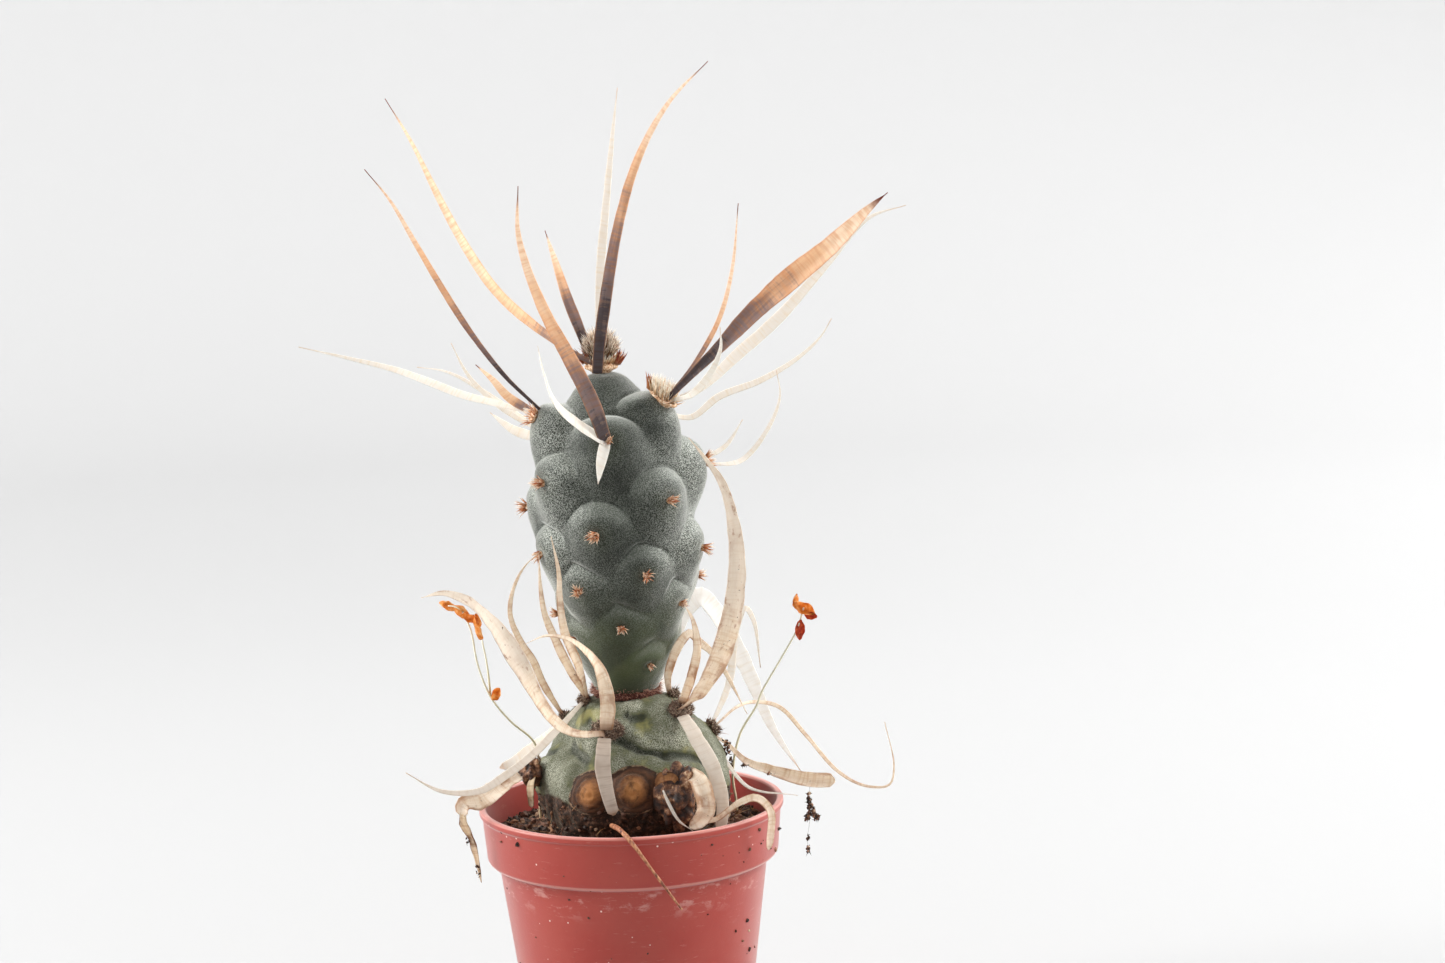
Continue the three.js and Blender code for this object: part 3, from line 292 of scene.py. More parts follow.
# For each spray on the old joint: its areole's turn and height, its felt's radius, how many hairs stand in
# it, its ribbons, and its dead sheath, if it has one: place, half sizes and seed.
OLD_SPRAYS = {
    "neck_left_spines": ((-76, 68.2), 1.6, 260, NECK_LEFT_RIBBONS),
    "neck_right_spine": ((80, 68.6), 1.3, 200, NECK_RIGHT_RIBBONS),
    "lower_right_spines": ((57, 66.5), 2.4, 520, LOWER_RIGHT_RIBBONS),
    "lower_back_spine": ((150, 64), 2, 400, LOWER_BACK_RIBBONS),
    "lower_front_spines": ((-19, 65), 2.35, 560, LOWER_FRONT_RIBBONS),
    "far_right_spines": ((101, 60.8), 1.9, 500, FAR_RIGHT_RIBBONS),
    "far_left_spines": ((-107, 63.6), 1.7, 400, FAR_LEFT_RIBBONS),
    "dried_left_spines": ((-85, 56.5), 2.1, 400, DRIED_LEFT_RIBBONS, ((-17.5, -5, 57), (2.2, 2.2, 2.6), 1)),
    "dried_right_spines": (
        (40, 51.5), 1.8, 200, DRIED_RIGHT_RIBBONS, ((8.7, -17.0, 54.6), (3.7, 2.6, 5.6), 2),
    ),
}
# Which material slot a spray's CAD node has; the rest have old_spines.
SPRAY_SLOTS = {
    "young_spines": ["crown_spines", "front_upper_spines", "right_shoulder_spines", "left_shoulder_spines"],
    "pale_spines": ["back_upper_spines", "right_edge_spines", "back_left_spines", "lower_back_spine"],
}

NEEDLE_ROUTE = [
    (-3, -19.6, 50.4), (-1.2, -25.6, 50.9), (0.8, -28.5, 49.3), (4.4, -28.8, 44), (8.9, -28.3, 37.2),
]
LEFT_WEED = [
    (-17, 8, 38.5), (-17, 8, 44), (-17, 8, 49), (-16.8, 8, 54), (-17.5, 6, 60), (-21.5, 4, 64.5),
    (-24.7, 2, 69.5), (-26.7, 1, 75.7), (-27.6, 0, 82.3), (-28.9, 0, 85.6),
]
LEFT_FORK = [(-24.7, 2, 69.5), (-25.1, 2, 75.4), (-25.8, 2, 80)]
RIGHT_WEED = [
    (19, 8, 38.5), (19, 8, 43), (19, 8, 47), (18.5, 8, 52), (20, 8, 59.5), (23.3, 7, 65.2),
    (24.3, 7, 67.6), (27.8, 6, 73.6), (31, 5, 79.3), (32.4, 5, 83.4),
]


def tint(code):
    """Red, green, blue and alpha in linear light, from a six-digit screen colour."""
    parts = np.array([int(code[place:place + 2], 16) / 255 for place in (0, 2, 4)])
    linear = np.where(parts > 0.04045, ((parts + 0.055) / 1.055) ** 2.4, parts / 12.92)
    return (*linear.tolist(), 1.0)


def unit(vectors):
    """The same directions at length 1."""
    return vectors / np.maximum(np.linalg.norm(vectors, axis=-1, keepdims=True), 1e-9)


def mix(low, high, share):
    """low at share 0, high at share 1, and a straight line between."""
    return low + (high - low) * share


def ease(low, high, value):
    """0 below low and 1 above high, joined by 3s² - 2s³ of the share s between them."""
    share = np.clip((value - low) / (high - low), 0, 1)
    return share * share * (3 - 2 * share)


def joined(*parts):
    """Numbers, rows and columns, each spread over the same grid, as the parts of its points."""
    return np.stack(np.broadcast_arrays(*parts), axis=-1)


def spin(turn, radius):
    """The place on a level circle at a turn: x is radius * sin(turn) and y is -radius * cos(turn)."""
    angle = np.radians(turn)
    return joined(radius * np.sin(angle), -radius * np.cos(angle))


def around(columns):
    """Turns at even steps once round, as one row."""
    return np.linspace(0, 360, columns, endpoint=False)[None, :]


def raised(level, height):
    """Places from their level parts and their heights."""
    return np.concatenate([level, np.broadcast_to(height, level.shape[:-1])[..., None]], axis=-1)


def turned(profile, columns):
    """The rings that a profile of radii and heights makes when it is turned once round."""
    return raised(spin(around(columns), profile[:, :1]), profile[:, 1:])


# Large odd numbers that mix the whole numbers of a cube's corner, and a seed, to a number without pattern,
# and the mask that keeps its last 24 bits.
CORNER_FACTORS = (73856093, 19349663, 83492791)
SEED_FACTOR = 2654435
MIXING_FACTOR = 1274126177
LAST_BITS = 0xFFFFFF


def noise(points, size, seed=0):
    """Value noise from -1 to 1: each cube corner's whole numbers are multiplied by large odd numbers and
    mixed by shifts to a value, and the eight values are blended by 3s² - 2s³ along each axis."""
    scaled = np.asarray(points, float) / size
    base = np.floor(scaled).astype(np.int64)
    share = scaled - base
    share = share * share * (3 - 2 * share)
    total = 0
    for corner in itertools.product((0, 1), repeat=3):
        cell = (base + corner) * CORNER_FACTORS
        mixed = cell[..., 0] ^ cell[..., 1] ^ cell[..., 2] ^ (seed * SEED_FACTOR)
        mixed = (mixed ^ (mixed >> 13)) * MIXING_FACTOR
        value = ((mixed ^ (mixed >> 16)) & LAST_BITS) / (LAST_BITS // 2) - 1
        total = total + value * np.prod(np.where(corner, share, 1 - share), axis=-1)
    return total


def layered(points, *layers):
    """Layers of noise added up, each with a depth, a size and a seed."""
    return sum(depth * noise(points, size, seed) for depth, size, seed in layers)


def cubic_pieces(points, leave, arrive, samples):
    """Cubic pieces through the points. A piece is (2s³ - 3s² + 1) start + (s³ - 2s² + s) leaving tangent
    + (3s² - 2s³) end + (s³ - s²) arriving tangent, for shares s from 0 to 1."""
    share = np.linspace(0, 1, samples, endpoint=False)[None, :, None]
    start, end = points[:-1, None], points[1:, None]
    body = (
        (2 * share**3 - 3 * share**2 + 1) * start
        + (share**3 - 2 * share**2 + share) * leave[:, None]
        + (3 * share**2 - 2 * share**3) * end
        + (share**3 - share**2) * arrive[:, None]
    )
    return np.concatenate([body.reshape(-1, points.shape[1]), points[-1:]])


def path_through(route, samples=40):
    """A smooth path through a route: cubic pieces whose tangents are weighed by the square roots of the
    distances between the points, so that the path never overshoots."""
    points = np.array(route, float)
    padded = np.concatenate([2 * points[:1] - points[1:2], points, 2 * points[-1:] - points[-2:-1]])
    step = np.diff(padded, axis=0)
    gap = np.sqrt(np.linalg.norm(step, axis=1, keepdims=True))
    slope = step / gap
    before, here, after = gap[:-2], gap[1:-1], gap[2:]
    leave = (slope[:-2] - (padded[2:-1] - padded[:-3]) / (before + here) + slope[1:-1]) * here
    arrive = (slope[1:-1] - (padded[3:] - padded[1:-2]) / (here + after) + slope[2:]) * here
    return cubic_pieces(points, leave, arrive, samples)


def evenly(points, count):
    """The same path as count points at like distances, and its length."""
    run = np.concatenate([[0], np.cumsum(np.linalg.norm(np.diff(points, axis=0), axis=1))])
    wanted = np.linspace(0, run[-1], count)
    return np.stack([np.interp(wanted, run, column) for column in points.T], axis=-1), run[-1]


def rounded(corners, steps=5):
    """A profile whose corners are eased: each (radius, height, reach) becomes the curve
    (1 - s)² A + 2s(1 - s) corner + s² B, with A and B that reach before and after the corner."""
    corner = np.array(corners, float)
    places, reach = corner[:, :2], corner[:, 2:]
    back = unit(np.roll(places, 1, axis=0) - places) * reach
    forth = unit(np.roll(places, -1, axis=0) - places) * reach
    share = np.linspace(0, 1, steps)[None, :, None]
    start, end = (places + back)[:, None], (places + forth)[:, None]
    curves = (1 - share) ** 2 * start + 2 * share * (1 - share) * places[:, None] + share**2 * end
    inner = curves[1:-1].reshape(-1, 2)
    return np.concatenate([places[:1], inner, places[-1:]])


class Surface:
    """Points and faces before they become a mesh. Each point has a place on its paper, in centimetres along
    and across, and three marks that its material reads."""

    def __init__(self, points, quads=(), triangles=(), paper=None, marks=None, finish="felt"):
        """Places on the paper and marks are zeros where none are given."""
        self.points = np.asarray(points, float).reshape(-1, 3)
        count = len(self.points)
        self.quads = np.asarray(quads, int).reshape(-1, 4)
        self.triangles = np.asarray(triangles, int).reshape(-1, 3)
        self.paper = np.zeros((count, 2)) if paper is None else np.asarray(paper, float).reshape(-1, 2)
        self.marks = np.zeros((count, 3)) if marks is None else np.asarray(marks, float).reshape(-1, 3)
        self.finish = finish


def way_round(turn, start):
    """How far round a turn is from another one, from -180 to 180 degrees."""
    return (turn - start + 180) % 360 - 180


def round_quads(grid):
    """Faces between rows of points that run round: a point, the next one, and the two that follow them."""
    after = np.roll(grid, -1, axis=1)
    return np.stack([grid[:-1], after[:-1], after[1:], grid[1:]], axis=-1).reshape(-1, 4)


def closed_skin(rings, bottom, top, marks=None, finish="felt"):
    """A closed skin: rings of points that run round the way of travel, and a point that closes each end."""
    rows, columns = rings.shape[:2]
    here = 1 + np.arange(rows * columns).reshape(rows, columns)
    after = np.roll(here, -1, axis=1)
    last = rows * columns + 1
    caps = np.concatenate([joined(0, after[0], here[0]), joined(last, here[-1], after[-1])])
    if marks is not None:
        marks = np.concatenate([marks[:1].mean(axis=1), marks.reshape(-1, 3), marks[-1:].mean(axis=1)])
    points = np.concatenate([[bottom], rings.reshape(-1, 3), [top]])
    return Surface(points, round_quads(here), caps, marks=marks, finish=finish)


def axes_for(way):
    """Three directions at right angles as the rows of a matrix: the last lies along the way given, and the
    first is level wherever the way isn't nearly upright."""
    way = unit(np.array(way, float))
    across = unit(np.cross(UP if abs(way[2]) < 0.97 else (0, 1, 0), way))
    return np.stack([across, np.cross(way, across), way])


def ball(place, way, sizes, lumps, seed, finish, rows=14, columns=22):
    """A lumpy ball: a sphere's latitude and longitude grid, scaled by sizes along its own three axes, with
    each point moved out by lumps times two layers of noise."""
    tilt = np.radians(np.linspace(-90, 90, rows + 1)[1:-1, None])
    rings = raised(spin(around(columns), np.cos(tilt)), np.sin(tilt))
    sphere = np.concatenate([[(0, 0, -1.0)], rings.reshape(-1, 3), [(0, 0, 1.0)]])
    swell = 1 + lumps * layered(sphere, (1, 0.5, seed), (0.5, 0.22, seed + 1))
    points = (sphere * swell[:, None] * sizes) @ axes_for(way) + place
    return closed_skin(points[1:-1].reshape(rings.shape), points[0], points[-1], finish=finish)


def felt_ring(place, way, radii, thickness, seed, finish, columns=64, sides=14):
    """A lumpy ring: a round section carried along an oval that lies across the way given, its thickness
    swelling and thinning by noise."""
    axes = axes_for(way)
    turn = np.linspace(0, 2 * np.pi, columns, endpoint=False)[:, None, None]
    angle = np.linspace(0, 2 * np.pi, sides, endpoint=False)[None, :, None]
    middle = np.cos(turn) * radii[0] * axes[0] + np.sin(turn) * radii[1] * axes[1]
    outward = unit(middle)
    section = np.cos(angle) * axes[2] + np.sin(angle) * outward
    spot = middle + section * thickness
    size = thickness * (1 + 0.3 * noise(spot, 1.1, seed) + 0.2 * noise(spot, 0.45, seed + 1))
    grid = np.arange(columns * sides).reshape(columns, sides)
    after, ahead = np.roll(grid, -1, axis=1), np.roll(grid, -1, axis=0)
    quads = np.stack([grid, after, np.roll(ahead, -1, axis=1), ahead], axis=-1)
    return Surface(middle + section * size[..., None] + place, quads, finish=finish)


def tube(route, radius, tip_radius, finish, sides=8, pitch=0.8, waver=0.0, seed=0):
    """A round stalk: a ring of sides points carried along a path, its radius running evenly to the tip's and
    wavering with noise, and both ends closed by a point on the path."""
    path = path_through(route)
    centre, _ = evenly(path, max(6, int(evenly(path, 2)[1] / pitch)))
    tangent = unit(np.gradient(centre, axis=0))
    side = unit(np.cross((0.2, 1, 0.1), tangent))
    front = np.cross(tangent, side)
    share = np.linspace(0, 1, len(centre))[:, None, None]
    angle = np.linspace(0, 2 * np.pi, sides, endpoint=False)[None, :, None]
    size = mix(radius, tip_radius, share) * (1 + waver * noise(centre, 2.5, seed)[:, None, None])
    rings = centre[:, None] + size * (np.cos(angle) * side[:, None] + np.sin(angle) * front[:, None])
    marks = joined(np.broadcast_to(share[..., 0], rings.shape[:2]), 0.0, 0.5)
    end = tangent * 0.02
    return closed_skin(rings, centre[0] - end[0], centre[-1] + end[-1], marks, finish)


# The least width of a ribbon's end, and the height of the fine ribs that run along its paper.
HAIR_WIDTH = 0.16
RIB_HEIGHT = 0.035


def ribbon_width(share, width, belly, root, tip):
    """A ribbon's full width: it eases from its root share to the whole at the belly, then thins to its tip
    share with the 1.8th power of the way left. The last twentieth rounds off by sqrt(1 - s²), and it ends no
    finer than a hair."""
    growth = mix(root, 1, ease(0, belly, share))
    taper = mix(1, tip, np.clip((share - belly) / (1 - belly), 0, 1) ** 1.8)
    closing = np.sqrt(1 - np.clip((share - 0.95) / 0.05, 0, 0.97) ** 2)
    return np.maximum(width * growth * taper * closing, HAIR_WIDTH)


def ribbon(facts, seed, half_ring=8, pitch=0.75):
    """A papery ribbon. Its section is a lens: with a half turn's angle, across is -cos and thickness is sin.
    The section is carried along the path with its broad side turning evenly from face to tip_face, and
    rolled a little by noise. The broad side is moved out by a fold that grows with the distance across to
    the power 1.5, by crinkle noise that grows towards the edges and by three fine ribs, and each edge moves
    in and out by ragged noise."""
    path = path_through(facts["route"])
    count = int(np.clip(evenly(path, 2)[1] / pitch, 22, 110))
    centre, length = evenly(path, count)
    share = np.linspace(0, 1, count)[:, None]
    arc = share * length
    tangent = unit(np.gradient(centre, axis=0))
    facing = mix(np.array(facts["face"], float), np.array(facts["tip_face"] or facts["face"], float), share)
    normal = unit(facing - (facing * tangent).sum(axis=1, keepdims=True) * tangent)
    side = np.cross(normal, tangent)
    roll = facts["roll"] * noise(arc * (1, 0, 0), 9, seed)[:, None]
    normal, side = (
        normal * np.cos(roll) + side * np.sin(roll),
        side * np.cos(roll) - normal * np.sin(roll),
    )
    angle = np.linspace(0, 2 * np.pi, 2 * half_ring, endpoint=False)[None, :]
    across, rise = -np.cos(angle), -np.sin(angle)
    half = ribbon_width(share, facts["width"], facts["belly"], facts["root"], facts["tip"]) / 2
    edge = joined(arc, np.where(across > 0, 1.0, -1.0) * 7, 0.0)
    ragged = 1 + facts["ragged"] * layered(edge, (1, 2.2, seed + 3), (0.6, 0.9, seed + 4))
    ragged = mix(1, ragged, ease(0, 0.08, share) * ease(1, 0.96, share))
    bent = facts["fold"] * (np.abs(across) ** 1.5 - 0.4)
    crinkles = layered(joined(arc, across, 0.0), (1, 3.4, seed + 5), (0.5, 1.3, seed + 6))
    waved = facts["crinkle"] * (0.3 + across**2) * crinkles
    rib = RIB_HEIGHT * np.cos(3 * np.pi * across)
    lift = half * (bent + waved) * ease(0, 0.1, share) + rib * np.minimum(half, 1)
    thick = np.minimum(facts["thick"], half) * mix(1.0, 0.6, share)
    points = (
        centre[:, None]
        + side[:, None] * (half * across * ragged)[..., None]
        + normal[:, None] * (lift + rise * thick / 2)[..., None]
    )
    grid = np.arange(count * 2 * half_ring).reshape(count, -1)
    step = np.arange(1, half_ring - 1)
    mirror = 2 * half_ring - step
    inner = np.stack([step, step + 1, mirror - 1, mirror], axis=-1)
    ends = np.array([(0, 1, 2 * half_ring - 1), (half_ring - 1, half_ring, half_ring + 1)])
    tip = grid[-1, 0]
    return Surface(
        points,
        np.concatenate([round_quads(grid), inner + tip, inner[:, ::-1]]),
        np.concatenate([ends + tip, ends[:, ::-1]]),
        paper=joined(arc / 10, half * across / 10),
        marks=joined(share, across, facts["shade"]),
        finish=facts["look"],
    )


def hairs(roots, ways, lengths, radius, finish, seed, bend=0.25, rings=3):
    """Three-sided hairs. A hair's middle line is root + way * length * s + sideways * bend * length * s²,
    and its radius falls with (1 - s) to the power 0.6, down to a single point."""
    random = np.random.default_rng(seed)
    roots, ways = np.asarray(roots, float), unit(np.asarray(ways, float))
    lengths = np.broadcast_to(lengths, len(roots))
    across = unit(np.cross(ways, random.normal(size=(len(roots), 3))))
    up = np.cross(ways, across)
    share = np.linspace(0, 1, rings, endpoint=False)
    reach = lengths[:, None] * share
    centre = roots[:, None] + ways[:, None] * reach[..., None]
    centre = centre + across[:, None] * (bend * lengths[:, None] * share**2)[..., None]
    angle = np.radians([0, 120, 240])
    corner = np.cos(angle)[:, None] * across[:, None] + np.sin(angle)[:, None] * up[:, None]
    size = radius * (1 - share[None, :, None, None]) ** 0.6
    body = centre[:, :, None] + corner[:, None] * size
    tip = roots + ways * lengths[:, None] + across * (bend * lengths)[:, None]
    points = np.concatenate([body.reshape(len(roots), -1, 3), tip[:, None]], axis=1)
    per_hair = 3 * rings + 1
    grid = np.arange(3 * rings).reshape(rings, 3)
    closing = np.concatenate([[(0, 2, 1)], joined(grid[-1], np.roll(grid[-1], -1), 3 * rings)])
    start = (np.arange(len(roots)) * per_hair)[:, None, None]
    along = np.append(np.repeat(share, 3), 1.0)
    tone = random.random(len(roots))
    marks = joined(along[None, :], 0.0, tone[:, None])
    return Surface(points, round_quads(grid) + start, closing + start, marks=marks, finish=finish)


# The twelve corners and twenty faces of an icosahedron.
GOLDEN = (1 + 5**0.5) / 2
ICO_POINTS = unit(np.array([
    (-1, GOLDEN, 0), (1, GOLDEN, 0), (-1, -GOLDEN, 0), (1, -GOLDEN, 0), (0, -1, GOLDEN), (0, 1, GOLDEN),
    (0, -1, -GOLDEN), (0, 1, -GOLDEN), (GOLDEN, 0, -1), (GOLDEN, 0, 1), (-GOLDEN, 0, -1), (-GOLDEN, 0, 1),
]))
ICO_FACES = np.array([
    (0, 11, 5), (0, 5, 1), (0, 1, 7), (0, 7, 10), (0, 10, 11), (1, 5, 9), (5, 11, 4), (11, 10, 2),
    (10, 7, 6), (7, 1, 8), (3, 9, 4), (3, 4, 2), (3, 2, 6), (3, 6, 8), (3, 8, 9), (4, 9, 5), (2, 4, 11),
    (6, 2, 10), (8, 6, 7), (9, 8, 1),
])


def crumbs(places, sizes, finish, seed):
    """Angular crumbs: twelve-cornered balls whose corners move in and out by up to a third, each squeezed
    along one axis, turned at random and put at its place."""
    random = np.random.default_rng(seed)
    count = len(places)
    shape = ICO_POINTS * random.uniform(0.66, 1.2, (count, 12, 1))
    shape = shape * random.uniform(0.5, 1.1, (count, 1, 3)) * np.reshape(sizes, (-1, 1, 1))
    spun = unit(random.normal(size=(count, 4)))
    scalar, axis = spun[:, :1, None], spun[:, None, 1:]
    inner = np.cross(np.broadcast_to(axis, shape.shape), shape) + scalar * shape
    points = shape + 2 * np.cross(axis, inner) + np.asarray(places, float)[:, None]
    tone = np.broadcast_to(random.random(count)[:, None], (count, 12))
    faces = ICO_FACES + (np.arange(count) * 12)[:, None, None]
    return Surface(points, triangles=faces, marks=joined(0.0, 0.0, tone), finish=finish)


class Joint:
    """A stem joint: a round profile on a leaning axis. Its relief is the tallest of its domes at that place,
    rise * (1 - (across² + up²) ^ power), blended with the next ones by softness * log(sum of
    exp(height / softness)). A dome falls off quickly above its areole, with the power above, and slowly below
    it, with the power below. Where a place lies above an areole the softness is small, so that a crease
    arches over the tubercle; elsewhere it is large, so that the tubercle runs into the next ones."""

    CRISP = 0.13
    SOFT = 0.6
    # A dome reaches less far up than across, least by the crown, and farther down.
    REACH_UP, REACH_UP_AT_CROWN, REACH_DOWN = 0.85, 0.55, 1.25
    CROWN_FROM, CROWN_TO = 112, 123
    # A dome's weight at a place is exp(-depth below the tallest one / reach): wide reaches, then narrow.
    REACHES = (0.5, 0.12)
    # The weighted height above an areole at which a crease begins, and is whole; and a crease's reach in mm.
    CREASE_FROM, CREASE_TO = 0.08, 0.4
    CREASE_REACH = 0.3

    def __init__(self, profile, domes, lean, floor, powers):
        """The profile runs smoothly through its points: the tangent at a point is half the way between the
        points before and after it."""
        points = np.array(profile, float)
        padded = np.concatenate([points[:1], points, points[-1:]])
        tangent = (padded[2:] - padded[:-2]) / 2
        line = cubic_pieces(points, tangent[:-1], tangent[1:], 60)
        self.line, self.length = evenly(line, 1601)
        self.slope = unit(np.gradient(self.line, axis=0))
        self.shares = np.linspace(0, 1, len(self.line))
        self.domes = domes
        self.lean = lean
        self.floor = floor
        self.powers = powers

    def read(self, table, along):
        """Both columns of a table of the profile, at shares of the profile's length."""
        return [np.interp(along, self.shares, column) for column in table.T]

    def along_at(self, height):
        """How far up its profile the joint reaches a height, as a share of the profile's length."""
        return np.interp(height, np.maximum.accumulate(self.line[:, 1]), self.shares)

    def relief(self, along, turn, radius):
        """The relief at places, with marks: the winning dome's share of its top, how near a crease is, and
        how far above (1) or below (-1) the areole the place lies."""
        heights, shares, rises = [], [], []
        for dome_turn, height, width, rise in self.domes:
            across = radius * np.radians(way_round(turn, dome_turn)) / width
            up = (along - self.along_at(height)) * self.length / width
            by_crown = ease(self.CROWN_FROM, self.CROWN_TO, height)
            up = up / np.where(up > 0, mix(self.REACH_UP, self.REACH_UP_AT_CROWN, by_crown), self.REACH_DOWN)
            away = across**2 + up**2
            power = mix(*self.powers, ease(-0.2, 0.45, up))
            heights.append(rise * (1 - (away + 0.01) ** power))
            shares.append(1 - away)
            rises.append(np.broadcast_to(up, away.shape))
        heights.append(np.full_like(heights[0], self.floor))
        shares.append(np.zeros_like(heights[0]))
        rises.append(np.zeros_like(heights[0]))
        heights, shares, rises = (np.stack(layer) for layer in (heights, shares, rises))
        tallest = heights.max(axis=0)
        behind = heights - tallest
        wide, narrow = (np.exp(behind / reach) for reach in self.REACHES)
        wide, narrow = wide / wide.sum(axis=0), narrow / narrow.sum(axis=0)
        crisp = ease(self.CREASE_FROM, self.CREASE_TO, (wide * np.clip(rises, 0, 1)).sum(axis=0))
        softness = mix(self.SOFT, self.CRISP, crisp)
        relief = tallest + softness * np.log(np.exp(behind / softness).sum(axis=0))
        second, first = np.sort(heights, axis=0)[-2:]
        share = np.clip((narrow * shares).sum(axis=0), 0, 1)
        above = np.clip((narrow * rises).sum(axis=0), -1, 1)
        crease = np.exp((second - first) / self.CREASE_REACH) * crisp
        return relief, np.stack([share, crease, above], axis=-1)

    def places(self, along, turn, lift=0.0, detail=None):
        """Places and marks on the skin, lift mm proud of it, with any further detail added to the relief."""
        along, turn = np.broadcast_arrays(along, turn)
        radius, height = self.read(self.line, along)
        out_slope, up_slope = self.read(self.slope, along)
        relief, marks = self.relief(along, turn, radius)
        out = relief + lift
        if detail is not None:
            extra, marks = detail(raised(spin(turn, radius), height), turn, height, marks)
            out = out + extra
        level = spin(turn, np.maximum(radius + out * up_slope, 0.02))
        height = height - out * out_slope
        level[..., 0] += self.lean(height)
        return raised(level, height), marks

    def areole(self, turn, height):
        """The place of an areole on the skin, and the way that its spines point."""
        along = self.along_at(height)
        place = self.places(np.array([along]), np.array([float(turn)]))[0][0]
        out_slope, up_slope = self.read(self.slope, along)
        return place, unit(np.array([*spin(turn, up_slope), -out_slope]))

    def skin(self, rows, columns, finish, detail=None):
        """The whole closed skin, on a grid of shares up the profile and turns round it."""
        along = np.linspace(0, 1, rows + 1)[1:-1, None]
        rings, marks = self.places(along, around(columns), detail=detail)
        ends = [rings[end].mean(axis=0) for end in (0, -1)]
        return closed_skin(rings, *ends, marks=marks, finish=finish)


def young_areoles():
    """Turn, height, half width and rise of each young areole's tubercle, from the top down: the turn goes
    back by the golden turn each time, and the height falls by steps that shorten evenly. Towards the foot the
    tubercles flatten to less than a third."""
    shifts = {number: rest for number, *rest in AREOLE_SHIFTS}
    areoles = []
    for number in range(AREOLE_COUNT):
        turn, up, proud = shifts.get(number, (0, 0, 0))
        areoles.append((
            FIRST_AREOLE_TURN - GOLDEN_TURN * number + turn,
            FIRST_AREOLE_HEIGHT - AREOLE_FALL * number + FALL_LOSS * number**2 + up,
            TUBERCLE_WIDTH - WIDTH_LOSS * number,
            (TUBERCLE_RISE - RISE_LOSS * number) * mix(1, 0.3, ease(14, 26, number)) + proud,
        ))
    return areoles


YOUNG = Joint(
    YOUNG_PROFILE, young_areoles(), lambda height: -0.1 - 0.0005 * (height - 70) ** 2, -0.2, (0.8, 1.15),
)
OLD = Joint(OLD_PROFILE, OLD_SWELLINGS + CORKY_OVALS, lambda height: 0.6 + 0 * height, 0.0, (1, 1))


def cork_share(turn, height):
    """How deep inside a corky oval a place lies: 1 at its middle and 0 outside it."""
    deepest = np.zeros(np.shape(turn))
    for oval_turn, oval_height, width, _ in CORKY_OVALS:
        away = np.radians(way_round(turn, oval_turn)) * OLD_RADIUS
        distance = np.hypot(away / (width * 1.08), (height - oval_height) / (width * 0.98))
        uneven = 1 + 0.14 * noise(joined(away, height, 0.0), 2.4, 17)
        deepest = np.maximum(deepest, 1 - distance * uneven)
    return np.clip(deepest, 0, 1)


def young_detail(flat, turn, height, marks):
    """Creases sink by up to 0.16 mm, an areole sits in a pit 0.25 mm deep, and the skin has fine dimples."""
    share, crease = marks[..., 0], marks[..., 1]
    pit = 0.25 * ease(0.93, 0.99, share)
    dimples = layered(flat, (0.07, 2.6, 5), (0.025, 0.8, 6))
    return dimples - 0.16 * crease * ease(0.95, 0.6, share) - pit, marks


def folded(turn, height):
    """The skin's marked folds: each is a groove along a straight line, -depth * exp(-(d / 0.75)²) of the
    distance d from it in mm, with a soft swelling above it."""
    total = np.zeros(np.shape(turn))
    for start, low, end, high, depth in SKIN_FOLDS:
        middle = np.array([(start + end) / 2, (low + high) / 2])
        level, up = way_round(turn, middle[0]) * MM_A_DEGREE, height - middle[1]
        along = np.array([(end - start) * MM_A_DEGREE, high - low])
        half = np.hypot(*along) / 2
        along = along / (2 * half)
        run = level * along[0] + up * along[1]
        over = up * along[0] - level * along[1]
        over = over + 0.7 * noise(joined(turn / 5, height, 0.0), 2.6, 18)
        ends = ease(half + 1.6, half - 1.2, np.abs(run))
        total += depth * ends * (0.55 * np.exp(-(((over - 1.7) / 1.3) ** 2)) - np.exp(-((over / 0.75) ** 2)))
    return total


def old_detail(flat, turn, height, marks):
    """Marked folds, and wandering ones 0.5 mm deep where flattened noise is near zero; fine wrinkles cross
    them, and the corky ovals have rings 0.14 mm high round their middles."""
    cork = cork_share(turn, height)
    wander = 0.5 * (np.abs(noise(flat * (0.6, 0.6, 1.1), 4.2, 11)) ** 0.6 - 0.55)
    deep = folded(turn, height)
    folds = 1.3 * deep + wander + 0.12 * noise(flat, 1.5, 12)
    wrinkles = 0.05 * noise(flat, 0.6, 13)
    rings = 0.14 * np.cos(2 * np.pi * (cork * 4.2 + 0.12 * noise(flat, 1.6, 15))) * ease(0, 0.15, cork)
    bark = ease(54.3, 51.6, height + 1.3 * noise(flat, 2.5, 16))
    rough = 0.45 * noise(flat, 1.3, 14) * np.maximum(bark, 0.45 * ease(0, 0.2, cork))
    plain = 1 - 0.8 * ease(0, 0.2, cork)
    marks = np.stack([np.clip(0.5 + deep + 0.4 * wander, 0, 1), cork, bark], axis=-1)
    return (folds + wrinkles) * plain + rings + rough, marks


def soil_height(level):
    """The soil's top: it mounds up to the stem, with clods from three layers of noise."""
    radius = np.hypot(level[..., 0], level[..., 1])
    clods = layered(raised(level, 0.0), (0.55, 4.5, 21), (0.4, 1.7, 22), (0.22, 0.8, 23))
    return SOIL_EDGE + SOIL_MOUND * (1 - radius / SOIL_RADIUS) + clods * ease(SOIL_RADIUS, 23.5, radius)


